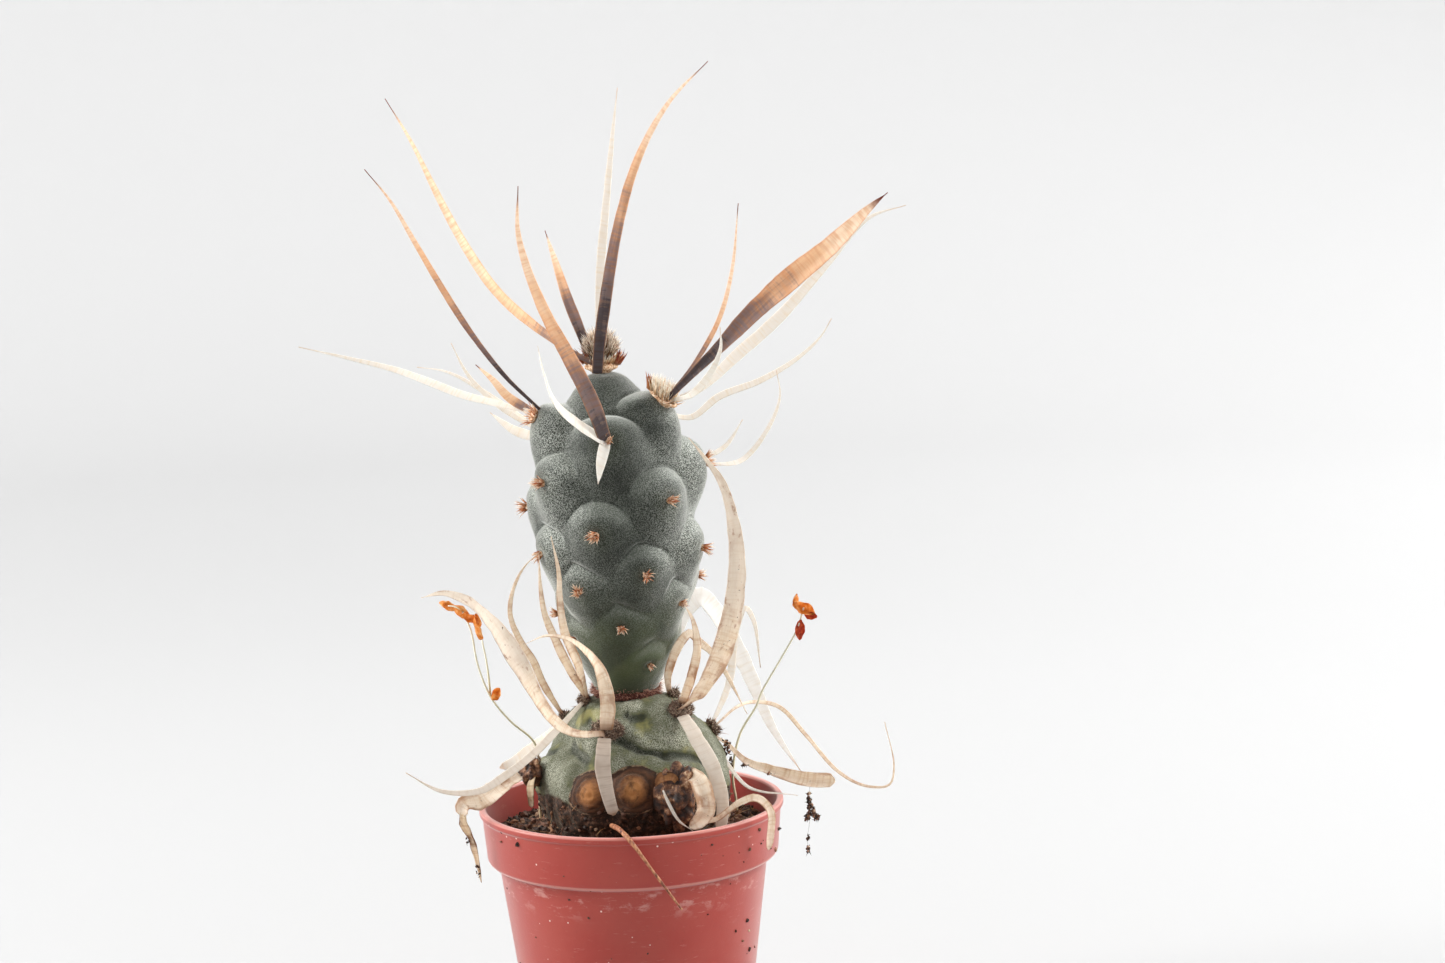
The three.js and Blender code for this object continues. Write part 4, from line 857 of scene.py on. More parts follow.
def soil_bed(top_rings=56, socket_rings=16, columns=260):
    """The soil's closed skin: up the inside of the pot, in over the clods to the old joint, then down the
    socket that the joint stands in."""
    turn = around(columns)
    wall = np.array([(BASE_RADIUS - 1.2, 1.3), (NECK_RADIUS - 1.25, 40.1), (SOIL_RADIUS - 0.3, 41.2)])
    meeting = OLD.along_at(SOIL_EDGE + SOIL_MOUND / 2)
    inner = OLD.places(meeting, turn, lift=GAP)[0]
    share = np.linspace(0, 1, top_rings)[:, None, None]
    level = mix(spin(turn, SOIL_RADIUS), inner[..., :2], share)
    top = raised(level, mix(soil_height(level), inner[..., 2], ease(0.96, 1, share[..., 0])))
    down = np.linspace(meeting, 0, socket_rings + 1)[1:-1, None]
    socket = OLD.places(down, turn, lift=GAP)[0]
    rings = np.concatenate([turned(wall, columns), top, socket])
    return closed_skin(rings, (0, 0, 1.3), (OLD.lean(0), 0, OLD_PROFILE[0][1] - GAP), finish="soil")


def scattered(count, inner, outer, random):
    """Level places drawn evenly over a ring of ground."""
    radius = np.sqrt(random.uniform(inner**2, outer**2, count))
    return spin(random.uniform(0, 360, count), radius)


def drawn_seed(random):
    """A seed drawn from another random run."""
    return int(random.integers(1 << 30))


def on_soil(level, above):
    """Places on the soil's top, or above it by a height."""
    return raised(level, soil_height(level) + above)


# How far the tip of a hair in a tuft bends aside, as a share of its length.
HAIR_BEND = 0.2


def tuft_on(place, way, radius, count, length, width, finish, random, spread=0.9, lift=None):
    """Hairs that stand on a round cushion: a hair that starts further out leans further out. lift, if given,
    is a direction that every hair also strives towards."""
    axes = axes_for(way)
    turn = random.uniform(0, 2 * np.pi, count)
    out = np.sqrt(random.random(count))
    aside = np.cos(turn)[:, None] * axes[0] + np.sin(turn)[:, None] * axes[1]
    roots = place + aside * (out * radius)[:, None]
    ways = unit(axes[2] + aside * (spread * out)[:, None] + (0 if lift is None else np.array(lift)))
    lengths = length * random.uniform(0.55, 1.1, count)
    return hairs(roots, ways, lengths, width, finish, drawn_seed(random), HAIR_BEND)


def colour_of(text):
    """A colour's four numbers, from its six-digit code or from the setting that it names as group.key."""
    if "." not in text:
        return tint(text)
    group, key = text.split(".")
    return tuple(getattr(getattr(bpy.context.scene, group), key))


class Finish:
    """A material under construction: one main shader, and short ways to add the nodes that feed it. Noise
    sizes are millimetres, because the places that it reads are turned from metres to millimetres. A colour is
    a six-digit code or a setting's name, and a number may also be the socket that it comes from."""

    def __init__(self, name, roughness=0.7, glow=0.0, **fixed):
        """A bare shader, mixed by the share glow with a plain one that lets light shine through."""
        self.material = bpy.data.materials.new("cactus_" + name)
        self.material.use_nodes = True
        self.tree = self.material.node_tree
        self.tree.nodes.clear()
        self.shader = self.add("ShaderNodeBsdfPrincipled", {"Roughness": roughness, **fixed})
        self.painted = [self.shader.inputs["Base Color"]]
        surface = self.shader.outputs[0]
        if glow:
            through = self.add("ShaderNodeBsdfTranslucent")
            self.painted.append(through.inputs["Color"])
            surface = self.add("ShaderNodeMixShader", {0: glow, 1: surface, 2: through.outputs[0]}).outputs[0]
        self.add("ShaderNodeOutputMaterial", {"Surface": surface})

    def add(self, kind, inputs=(), **settings):
        """Adds a node. An input is given by its name or number, as a socket to link, a value or a colour."""
        node = self.tree.nodes.new(kind)
        for key, value in settings.items():
            setattr(node, key, value)
        for key, value in dict(inputs).items():
            if isinstance(value, bpy.types.NodeSocket):
                self.tree.links.new(value, node.inputs[key])
            else:
                node.inputs[key].default_value = colour_of(value) if isinstance(value, str) else value
        return node

    def place(self, stretch=(1, 1, 1), source="Object", unit_size=MM):
        """Places in millimetres, stretched along the axes."""
        where = self.add("ShaderNodeTexCoord").outputs[source]
        scale = [part / unit_size for part in stretch]
        return self.add("ShaderNodeMapping", {"Vector": where, "Scale": scale}).outputs[0]

    def paper(self, along=1.0, across=1.0):
        """Places on a ribbon's own paper, which is laid out in centimetres, turned to millimetres."""
        return self.place((along, across, 1), "UV", MM_IN_CM)

    def parts(self, vector):
        """The x, y and z of a vector."""
        return self.add("ShaderNodeSeparateXYZ", {0: vector}).outputs

    def marks(self):
        """The three marks that each point carries."""
        return self.parts(self.add("ShaderNodeAttribute", attribute_name="marks").outputs["Vector"])

    def noise(self, where, size, detail=3.0, rough=0.55):
        """Layered noise from 0 to 1 with features of a size."""
        inputs = {"Vector": where, "Scale": 1 / size, "Detail": detail, "Roughness": rough}
        return self.add("ShaderNodeTexNoise", inputs).outputs[0]

    def cells(self, where, size):
        """Distance from the middle of the nearest cell of a size."""
        return self.add("ShaderNodeTexVoronoi", {"Vector": where, "Scale": 1 / size}).outputs["Distance"]

    def math(self, operation, *numbers):
        """One sum of one, two or three numbers."""
        return self.add("ShaderNodeMath", dict(enumerate(numbers)), operation=operation).outputs[0]

    def times(self, number, *factors):
        """A number multiplied by each factor in turn."""
        for factor in factors:
            number = self.math("MULTIPLY", number, factor)
        return number

    def sway(self, number, pattern, width):
        """A number moved by a pattern from 0 to 1: number + (pattern - 0.5) * width."""
        return self.math("ADD", number, self.times(self.math("SUBTRACT", pattern, 0.5), width))

    def ease(self, value, low, high):
        """A number that eases from 0 at low to 1 at high."""
        falling = low > high
        inputs = {"Value": value, "From Min": min(low, high), "From Max": max(low, high),
                  "To Min": float(falling), "To Max": float(not falling)}
        return self.add("ShaderNodeMapRange", inputs, interpolation_type="SMOOTHSTEP").outputs[0]

    def mix(self, share, low, high, kind="MIX"):
        """One colour over another, by a share."""
        inputs = {0: share, 6: low, 7: high}
        return self.add("ShaderNodeMix", inputs, data_type="RGBA", blend_type=kind).outputs[2]

    def coat(self, base, *coats):
        """Coats of colour over a base. A coat is its colour, the number that it follows, where on that number
        it starts and where it is whole, and its weight if that isn't 1."""
        for colour, value, low, high, *weight in coats:
            base = self.mix(self.times(self.ease(value, low, high), *weight), base, colour)
        return base

    def ramp(self, value, *stops):
        """A colour for each number, by stops of a position and a colour."""
        node = self.add("ShaderNodeValToRGB", {0: value})
        elements = node.color_ramp.elements
        while len(elements) < len(stops):
            elements.new(0.5)
        for element, (position, colour) in zip(elements, stops):
            element.position = position
            element.color = colour_of(colour)
        return node.outputs[0]

    def done(self, colour, *layers):
        """The finished material. Its shader, and the light that comes through, take a colour. Its surface is
        raised by layers of a height from 0 to 1 and its full depth in millimetres."""
        for target in self.painted:
            self.tree.links.new(colour, target)
        normal = None
        for height, depth in layers:
            inputs = {"Height": height, "Distance": depth * MM, "Strength": 1.0}
            if normal is not None:
                inputs["Normal"] = normal
            normal = self.add("ShaderNodeBump", inputs).outputs[0]
        if normal is not None:
            self.tree.links.new(normal, self.shader.inputs["Normal"])
        return self.material


def sheen(weight, roughness, colour, shine):
    """What a shader with a soft sheen has from the start: the sheen's facts, and how much it mirrors."""
    return {"Sheen Weight": weight, "Sheen Roughness": roughness, "Sheen Tint": colour,
            "Specular IOR Level": shine}


def thin_paper(name, glow, roughness=0.55):
    """A papery finish that lets a share of the light through."""
    return Finish(name, roughness, glow, **{"Specular IOR Level": 0.3})


def fibres_and_bands(finish):
    """Two patterns on a ribbon's paper: fibres that run along it, and fine bands across it."""
    fibres = finish.noise(finish.paper(along=0.06), 0.16, 2.0)
    bands = finish.noise(finish.paper(across=0.12), 0.7, 2.5, 0.6)
    return fibres, bands


def amber_paper(name, dark, warm, light, lit):
    """Young paper: a dark root that reaches up to its shade, then an amber middle with fine bands, a
    painted orange highlight along its edges and a reddish tip. Patches, bands and streaks move the place
    where each tone lies."""
    finish = thin_paper(name, 0.5)
    share, across, shade = finish.marks()
    fibres, bands = fibres_and_bands(finish)
    patches = finish.noise(finish.paper(), 5.0, 2.0)
    streaks = finish.noise(finish.paper(along=0.06), 0.9, 3.0, 0.6)
    reach = finish.math("MULTIPLY_ADD", finish.math("SUBTRACT", share, shade), 1.7, 0.4)
    for pattern, width in ((patches, 0.6), (bands, 0.8), (streaks, 0.5)):
        reach = finish.sway(reach, pattern, width)
    base = finish.ramp(reach, (0.0, dark), (0.12, "988886"), (0.34, "ae9690"), (0.48, "d2b29c"),
                       (0.6, warm), (0.8, light), (1.0, lit))
    banded = finish.mix(finish.ease(bands, 0.42, 0.62), base, "e2c09c", "MULTIPLY")
    # Painted highlight: the first coat lights the ribbon's edges orange.
    base = finish.coat(
        finish.mix(0.5, base, banded),
        ("e8ae7c", finish.math("ABSOLUTE", across), 0.72, 0.98, 0.35),
        ("8c4a36", share, 0.91, 0.98),
    )
    return finish.done(base, (fibres, 0.05), (bands, 0.04))


def pale_paper(name, body, band, glow):
    """Faded paper: a body colour, soft bands across it, fibres, and a tan tip."""
    finish = thin_paper(name, glow)
    share = finish.marks()[0]
    fibres, bands = fibres_and_bands(finish)
    patches = finish.noise(finish.paper(), 4.0, 2.0)
    base = finish.coat(
        body, (band, bands, 0.45, 0.7), (band, patches, 0.5, 0.75, 0.5),
        ("c8aa86", fibres, 0.58, 0.78, 0.1), ("c89f74", share, 0.92, 1.0, 0.5),
    )
    return finish.done(base, (fibres, 0.05), (bands, 0.05))


def old_paper(name, body, band, blotch, veil=0.0):
    """Old paper: faint bands, streaks along it, brown blotches that gather at its edges and where its shade
    is high, and dark specks. A veil whitens it past its first third, less again toward its tip, and dots it
    with brown."""
    finish = thin_paper(name, 0.45, 0.62)
    share, across, shade = finish.marks()
    fibres, bands = fibres_and_bands(finish)
    streaks = finish.noise(finish.paper(along=0.12), 0.45, 3.0, 0.6)
    patches = finish.noise(finish.paper(along=0.7), 3.2, 4.0, 0.6)
    specks = finish.noise(finish.place(), 0.5, 2.0)
    edge = finish.times(finish.ease(finish.math("ABSOLUTE", across), 0.55, 1.0), 0.16)
    base = finish.coat(
        body, (band, bands, 0.45, 0.66, 0.7), (band, streaks, 0.46, 0.66, 0.45),
        (blotch, finish.math("ADD", patches, edge), 0.52, 0.72, finish.math("ADD", shade, 0.2)),
        ("b39878", fibres, 0.58, 0.74, 0.2),
    )
    if veil:
        dots = finish.noise(finish.paper(along=0.5), 1.1, 4.0, 0.65)
        whitened = finish.times(finish.ease(share, 0.28, 0.55), finish.ease(share, 1.15, 0.8), veil)
        base = finish.mix(whitened, base, "ece4da")
        base = finish.coat(base, ("b08464", dots, 0.57, 0.68, 0.6))
    base = finish.coat(base, ("5a4030", specks, 0.7, 0.78), ("a97a54", share, 0.1, 0.0, 0.6))
    return finish.done(base, (fibres, 0.07), (bands, 0.05), (streaks, 0.08))


def young_skin(name):
    """The young joint: dark grey-green under a fine pale frost, and smooth and green at the foot. Painted
    light
    on it: a pale highlight on the upper rim of each tubercle, where the frost also gathers; frost that
    thickens towards the left and right sides as painted side light; painted shade on the lower side of each
    tubercle and in the creases; and a darker ring round each areole that is partly its own tone and partly
    painted shade."""
    skin = bpy.context.scene.cactus_skin
    finish = Finish(name, 0.6, **sheen(1.0, 0.4, "f2f4ee", 0.2))
    share, crease, above = finish.marks()
    where = finish.place()
    aside, _, height = finish.parts(where)
    clouds = finish.noise(where, 6.0, 3.0)
    frost = finish.noise(where, skin.frost_size / MM, 1.0, 0.5)
    # Painted shade: the last coat darkens the lower side of each tubercle, below its areole.
    base = finish.coat(
        "cactus_skin.young", ("262b22", clouds, 0.35, 0.65), ("434c2a", height, 94, 74, 0.85),
        ("171b13", above, -0.1, -0.7, 0.5),
    )
    # Painted highlight: a pale band on the upper rim of each tubercle, just under the crease above it.
    rim = finish.times(
        finish.ease(above, 0.0, 0.6), finish.ease(share, 0.95, 0.45), finish.ease(crease, 0.85, 0.3),
    )
    base = finish.mix(finish.times(rim, 0.24), base, "868c82")
    # Painted shade in the creases; the darker ring round each areole is partly its own tone and partly
    # painted shade.
    base = finish.coat(base, ("1b2018", crease, 0.3, 1.0, 0.8), ("34392a", share, 0.72, 0.97, 0.5))
    # Where frost gathers: its patches, and the painted rim highlight.
    frost_and_painted_light = finish.math("ADD", finish.times(rim, 0.4), finish.ease(clouds, 0.0, 0.85))
    # Painted side light: frost thickens towards the plant's left and right, so that its flanks look lit.
    painted_side_light = finish.ease(finish.math("ABSOLUTE", aside), 2, 13)
    foot = finish.times(finish.ease(height, 94, 74), 0.85)
    cover = finish.times(
        frost_and_painted_light, finish.ease(frost, 0.46, 0.58), finish.math("ADD", finish.times(painted_side_light, 1.2), 0.45),
        skin.frost, finish.math("SUBTRACT", 1.0, foot),
    )
    base = finish.mix(cover, base, "bec1b8")
    return finish.done(base, (frost, 0.05), (finish.noise(where, 0.9, 2.0), 0.06))


def old_skin(name):
    """The old joint: dull green with yellow patches, coarse frost, amber rings on its corky ovals, and dark
    bark by the soil. The grooves of its folds carry painted shade, and frost on the fold ridges is a
    painted highlight."""
    skin = bpy.context.scene.cactus_skin
    finish = Finish(name, 0.66, **sheen(0.3, 0.4, "e0e0cc", 0.25))
    fold, cork, bark = finish.marks()
    where = finish.place()
    clouds = finish.noise(where, 5.0, 4.0)
    frost = finish.noise(where, skin.frost_size / MM, 3.0, 0.65)
    # Painted shade: the last coat darkens the grooves of the folds.
    base = finish.coat(
        "cactus_skin.old", ("55583a", clouds, 0.4, 0.7), ("8c8650", clouds, 0.54, 0.68, 0.8),
        ("181e12", fold, 0.46, 0.15, 0.85),
    )
    # Frost gathers in patches, and on the fold ridges as a painted highlight.
    frost_and_painted_light = finish.math("ADD", finish.ease(fold, 0.42, 0.75), finish.ease(clouds, 0.62, 0.32))
    cover = finish.times(frost_and_painted_light, finish.ease(frost, 0.44, 0.57), skin.frost * 0.9)
    base = finish.mix(cover, base, "c6c6b4")
    flakes = finish.noise(where, 0.8, 4.0, 0.7)
    shell = finish.ramp(flakes, (0.35, "1c120c"), (0.52, "3a261a"), (0.68, "765440"))
    grain = finish.noise(finish.place((1, 1, 1.6)), 1.3, 4.0, 0.65)
    rings = finish.ramp(
        finish.sway(cork, grain, 0.5), (0.02, "8e7258"), (0.08, "33221a"), (0.24, "5a3822"),
        (0.34, "3c2517"), (0.5, "714728"), (0.78, "a87140"),
    )
    blots = finish.noise(finish.place((1, 1, 0.7)), 2.4, 4.0, 0.65)
    rings = finish.coat(rings, ("2c1a10", blots, 0.5, 0.7, 0.75))
    base = finish.coat(base, (shell, bark, 0.2, 0.6), (rings, cork, 0.01, 0.05))
    return finish.done(base, (frost, 0.07), (finish.noise(where, 0.9, 3.0), 0.1), (grain, 0.1))


def hair_finish(name, root, middle, tip, spare, share, roughness=0.6, glow=0.0):
    """Hair that changes colour from its root to its tip. A share of the hairs have a spare colour."""
    finish = Finish(name, roughness, glow, **{"Specular IOR Level": 0.3})
    along, _, tone = finish.marks()
    base = finish.ramp(along, (0.0, root), (0.35, middle), (0.7, tip))
    return finish.done(finish.mix(finish.math("LESS_THAN", tone, share), base, spare))


def blotted(name, size, detail, rough, depth, stops, roughness=0.6, glow=0.0, stretch=(1, 1, 1), shine=0.5):
    """A plain finish that follows one layer of noise: its colour by stops, and its surface to a depth."""
    finish = Finish(name, roughness, glow, **{"Specular IOR Level": shine})
    blots = finish.noise(finish.place(stretch), size, detail, rough)
    return finish.done(finish.ramp(blots, *stops), (blots, depth))


def dead_skin(name):
    """Dead sheath: tan ridges over amber and near-black folds, with a fine grain."""
    finish = Finish(name, 0.6)
    where = finish.place()
    folds = finish.noise(where, 1.6, 5.0, 0.65)
    base = finish.ramp(folds, (0.4, "22150f"), (0.5, "50301f"), (0.6, "8c6040"), (0.72, "dcc09c"))
    return finish.done(base, (folds, 0.35), (finish.noise(where, 0.3, 2.0), 0.08))


def pot_plastic(name):
    """Moulded plastic: brick red, with a painted highlight along the rim's top and the collar's lower edge,
    dust, pale scuffs that run round the pot, white flecks, and dried water marks under the collar."""
    pot = bpy.context.scene.cactus_pot
    finish = Finish(name, pot.roughness, **sheen(0.5, 0.4, "ffece8", 0.45))
    where = finish.place()
    height = finish.parts(where)[2]
    clouds = finish.noise(where, 9.0, 4.0)
    scuffs = finish.noise(finish.place((0.5, 0.5, 3.0)), 1.6, 4.0, 0.7)
    spills = finish.noise(finish.place((0.5, 0.5, 1.0)), 2.4, 5.0, 0.7)
    spills = finish.times(
        finish.ease(spills, 0.52, 0.64), finish.ease(height, 33, 37.5),
        finish.ease(height, COLLAR_FOOT, COLLAR_FOOT - 1.2), 0.4,
    )
    base = finish.coat(
        "cactus_pot.colour", ("a43e32", clouds, 0.3, 0.7), ("d39a8e", scuffs, 0.6, 0.78, 0.4),
    )
    base = finish.mix(spills, base, "dcb0a6")
    # Painted highlight: a thin pale line along the collar's lower edge and along the rim's top.
    for edge in (COLLAR_FOOT + 0.45, POT_HEIGHT - 0.1):
        away = finish.math("ABSOLUTE", finish.math("SUBTRACT", height, edge))
        base = finish.coat(base, ("dd9f92", away, 0.4, 0.1, 0.5))
    base = finish.coat(
        base, ("f2ddd4", finish.cells(where, 3.1), 0.065, 0.04, 0.85),
        ("5a2c24", finish.noise(where, 0.45, 2.0), 0.62, 0.8, 0.25),
    )
    roughness = finish.math("MULTIPLY_ADD", clouds, 0.25, pot.roughness - 0.1)
    finish.tree.links.new(roughness, finish.shader.inputs["Roughness"])
    return finish.done(base, (finish.noise(where, 0.25, 2.0), 0.012), (clouds, 0.08))


def crumb(name):
    """A loose crumb of peat: from near black to brown, with a few tan ones."""
    finish = Finish(name)
    base = finish.ramp(finish.marks()[2], (0.0, "281b14"), (0.5, "4a3326"), (0.82, "7a5440"),
                       (0.95, "a87a58"), (1.0, "d0b89a"))
    return finish.done(base, (finish.noise(finish.place(), 0.3, 3.0), 0.12))


def pod_finish(name):
    """A weed's red pod, with orange streaks."""
    finish = thin_paper(name, 0.35, 0.45)
    streaks = finish.noise(finish.place(), 0.6, 3.0)
    return finish.done(finish.coat("cactus_weeds.pod", ("e0703c", streaks, 0.4, 0.7)), (streaks, 0.12))


def felt_finish(name, dark, middle, light):
    """Matted felt, darker in its hollows."""
    return blotted(name, 0.35, 3.0, 0.65, 0.25, [(0.36, dark), (0.52, middle), (0.68, light)], 0.9)


# What makes each finish, and the colours and numbers that set it apart, in the order of its maker's inputs. A
# hair finish has colours at its root, middle and tip, a spare colour and the share of hairs that have it,
# then a roughness and a glow. A blotted finish has its noise's size, detail and roughness, its depth and its
# colour stops, then a roughness, a glow, a stretch and how much it mirrors.
FINISHES = {
    # Papers: the amber ones, then faded ones from cream to nearly clear, then old and stained ones.
    "amber": (amber_paper, "6a6062", "f0d2b4", "fae0c2", "cactus_spines.amber"),
    "pale_amber": (amber_paper, "c89c78", "f4d8b8", "fae2c4", "ffeed8"),
    "cream": (pale_paper, "cactus_spines.cream", "efe5d6", 0.55),
    "white": (pale_paper, "f3f0ea", "ece4d8", 0.5),
    "clear": (pale_paper, "fbf9f6", "f4efe8", 0.6),
    "hazy": (pale_paper, "f2eae0", "e8ddd0", 0.5),
    "smoky": (pale_paper, "d6c8ba", "c0ae9e", 0.4),
    "beige": (old_paper, "cactus_spines.beige", "e8d2b6", "bb8a60"),
    "veil": (old_paper, "cactus_spines.beige", "e8d2b6", "bb8a60", 0.65),
    "tan": (old_paper, "efdec2", "cdaa80", "875a3a"),
    "husk": (old_paper, "a87448", "6f4226", "341d12"),
    # The plant's skins, wools, bristles, felts and scales.
    "young_skin": (young_skin,),
    "old_skin": (old_skin,),
    "dead_skin": (dead_skin,),
    "wool": (hair_finish, "523a24", "dcc6a8", "f8ecdc", "8c6848", 0.22, 0.6, 0.4),
    "cream_wool": (hair_finish, "c89c6c", "f6e2c2", "fff8ea", "e6bf90", 0.15, 0.6, 0.45),
    "bristle": (hair_finish, "46201a", "7a4234", "b98a78", "5a2c22", 0.3),
    "barb": (hair_finish, "c8804e", "eebe94", "fdecd8", "d08658", 0.25, 0.6, 0.5),
    "felt_hair": (hair_finish, "3f2c22", "7d6552", "b6a590", "5a4034", 0.35),
    "bract": (hair_finish, "d8a888", "c06a48", "7f3a2c", "d89468", 0.3, 0.5, 0.4),
    "orange_scale": (hair_finish, "dca070", "c87f50", "b0683f", "efc398", 0.3, 0.5, 0.4),
    "felt": (felt_finish, "34251d", "6e5646", "a58f7c"),
    "young_felt": (felt_finish, "9c6440", "dcb58e", "fbeedb"),
    "collar_felt": (felt_finish, "2f1713", "5b3026", "8f5f4c"),
    "scale": (blotted, 0.7, 3.0, 0.55, 0.12, [(0.34, "8a5236"), (0.46, "cf9d70"), (0.62, "f2dcbc")],
              0.6, 0.3, (1, 1, 0.4), 0.3),
    # The pot, the soil and what lies on it, and the weeds.
    "pot_plastic": (pot_plastic,),
    "soil": (blotted, 0.7, 4.0, 0.65, 0.5, [(0.35, "281b14"), (0.55, "553c29"), (0.72, "8f6a50")], 0.85),
    "crumb": (crumb,),
    "root_fibre": (hair_finish, "6b3f22", "9a6a3e", "c8a070", "4a2b1a", 0.35),
    "moss": (hair_finish, "1d1d14", "33331f", "4c4a2c", "2a1f16", 0.3),
    "needle": (blotted, 0.5, 3.0, 0.55, 0.12, [(0.3, "4a2419"), (0.44, "8a4e34"), (0.66, "c68c62")],
               0.6, 0.0, (1, 1, 0.35)),
    "stalk": (hair_finish, "c8b088", "e8e0be", "f2ecd4", "e8e0be", 0.0),
    "leaf": (blotted, 1.1, 4.0, 0.55, 0.2, [(0.3, "d07c38"), (0.48, "cactus_weeds.leaf"), (0.68, "ffdca0")],
             0.5, 0.5, (1, 1, 1), 0.3),
    "pod": (pod_finish,),
}


def finish_named(name):
    """The material of that name, made the first time that it is asked for."""
    maker, *facts = FINISHES[name]
    return bpy.data.materials.get("cactus_" + name) or maker(name, *facts)


def add_piece(name, surfaces, slot, *nodes, flat=False):
    """Joins surfaces in one mesh at the origin, in metres, with a material for each finish, rides it on the
    body, and hides the CAD nodes that it stands for. The slot that it is given is not used."""
    finishes = list(dict.fromkeys(surface.finish for surface in surfaces))
    offsets = np.cumsum([0] + [len(surface.points) for surface in surfaces[:-1]])
    parts = [
        part + offset for surface, offset in zip(surfaces, offsets)
        for part in (surface.quads, surface.triangles)
    ]
    corners = np.concatenate([part.ravel() for part in parts])
    sizes = np.concatenate([np.full(len(part), part.shape[1]) for part in parts])
    finish_numbers = np.concatenate([
        np.full(len(surface.quads) + len(surface.triangles), finishes.index(surface.finish))
        for surface in surfaces
    ])
    points = np.concatenate([surface.points for surface in surfaces])
    mesh = bpy.data.meshes.new(name)
    mesh.vertices.add(len(points))
    mesh.vertices.foreach_set("co", (points * MM).astype(np.float32).ravel())
    mesh.loops.add(len(corners))
    mesh.loops.foreach_set("vertex_index", corners.astype(np.int32))
    mesh.polygons.add(len(sizes))
    mesh.polygons.foreach_set("loop_start", (np.cumsum(sizes) - sizes).astype(np.int32))
    mesh.polygons.foreach_set("material_index", finish_numbers.astype(np.int32))
    mesh.update(calc_edges=True)
    mesh.polygons.foreach_set("use_smooth", np.full(len(sizes), not flat))
    paper = np.concatenate([surface.paper for surface in surfaces])
    layer = mesh.uv_layers.new(name="paper")
    layer.uv.foreach_set("vector", paper[corners].astype(np.float32).ravel())
    marks = np.concatenate([surface.marks for surface in surfaces])
    attribute = mesh.attributes.new("marks", "FLOAT_VECTOR", "POINT")
    attribute.data.foreach_set("vector", marks.astype(np.float32).ravel())
    for finish in finishes:
        mesh.materials.append(finish_named(finish))
    if mesh.validate():
        raise ValueError(f"{name} had faces that its mesh could not keep")
    piece = bpy.data.objects.new(name, mesh)
    bpy.context.scene.collection.objects.link(piece)
    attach(piece, "root")
    if nodes:
        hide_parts(*nodes)
    return piece


def pot_skin(columns=192):
    """The pot's shell: an eased profile of base, tapering side, stepped collar, rim and inside, turned."""
    profile = rounded([
        (0, 0, 0), (BASE_RADIUS, 0, 1.0), (NECK_RADIUS, COLLAR_FOOT - 0.4, 0.35),
        (COLLAR_RADIUS, COLLAR_FOOT + 0.4, 0.7), (RIM_RADIUS - 0.5, POT_HEIGHT - 1.5, 0.3),
        (RIM_RADIUS, POT_HEIGHT - 1.1, 0.25), (RIM_RADIUS, POT_HEIGHT, 0.4),
        (RIM_RADIUS - 1.2, POT_HEIGHT, 0.4), (COLLAR_RADIUS - POT_WALL, COLLAR_FOOT + 0.9, 0.7),
        (NECK_RADIUS - POT_WALL, COLLAR_FOOT, 0.5), (BASE_RADIUS - POT_WALL, 1, 0.8), (0, 1, 0),
    ])
    return closed_skin(turned(profile[1:-1], columns), (0, 0, 0), (0, 0, 1), finish="pot_plastic")


def add_drain_holes(piece):
    """Cuts the round drain holes through the pot's floor, and keeps the cut mesh."""
    turns = np.arange(DRAIN_HOLES) * 360 / DRAIN_HOLES
    drills = []
    for level in spin(turns, DRAIN_CIRCLE):
        rings = turned(np.array([(DRAIN_RADIUS, -3.0), (DRAIN_RADIUS, 4.0)]), 32) + (*level, 0)
        drills.append(closed_skin(rings, (*level, -3), (*level, 4), finish="pot_plastic"))
    cutter = add_piece("drain_drill", drills, "pot")
    cut = piece.modifiers.new("drain_holes", "BOOLEAN")
    cut.object = cutter
    cut.solver = "EXACT"
    evaluated = piece.evaluated_get(bpy.context.evaluated_depsgraph_get())
    finished = bpy.data.meshes.new_from_object(evaluated)
    finished.name = piece.name
    piece.modifiers.clear()
    piece.data = finished
    bpy.data.objects.remove(cutter)


# Soil specks on the outside of the pot: turn, height and size.
POT_SPECKS = [
    (-57, 48.6, 0.35), (-58, 46.8, 0.32), (-47, 47.2, 0.75), (60, 44.6, 0.35), (52, 44.4, 0.45),
    (58, 47.4, 0.4), (80, 44.9, 0.6), (76, 41.6, 0.5), (61, 30, 0.5), (66, 24, 0.55), (58, 26.5, 0.4),
    (52, 29, 0.4), (60, 21, 0.6), (54, 19.5, 0.55), (64, 27.8, 0.35), (57, 16, 0.5), (-64, 21, 0.35),
]


def pot_radius(height):
    """The pot's outer radius at a height."""
    return np.interp(
        height, [0, COLLAR_FOOT - 0.4, COLLAR_FOOT + 0.4, POT_HEIGHT - 1.5],
        [BASE_RADIUS, NECK_RADIUS, COLLAR_RADIUS, RIM_RADIUS - 0.5],
    )


def add_pot(settings):
    """The pot and the specks of soil that stick to it: the marked ones, and smaller ones drawn at random."""
    add_drain_holes(add_piece("pot_shell", [pot_skin()], "pot", "pot"))
    random = np.random.default_rng(31)
    marked = np.array(POT_SPECKS)
    turn = np.concatenate([marked[:, 0], random.uniform(-180, 180, settings.specks)])
    height = np.concatenate([marked[:, 1], random.uniform(6, 48, settings.specks)])
    size = np.concatenate([marked[:, 2], random.uniform(0.1, 0.28, settings.specks)])
    places = raised(spin(turn, pot_radius(height) + 0.1 * size), height)
    add_piece("pot_specks", [crumbs(places, size, "crumb", 32)], "soil", flat=True)


# Crumbs and fibres lie between the stem and the pot's wall. No fibre starts farther out than the last value.
LITTER_FROM, LITTER_TO, FIBRES_TO = 14.5, 25, 23.5


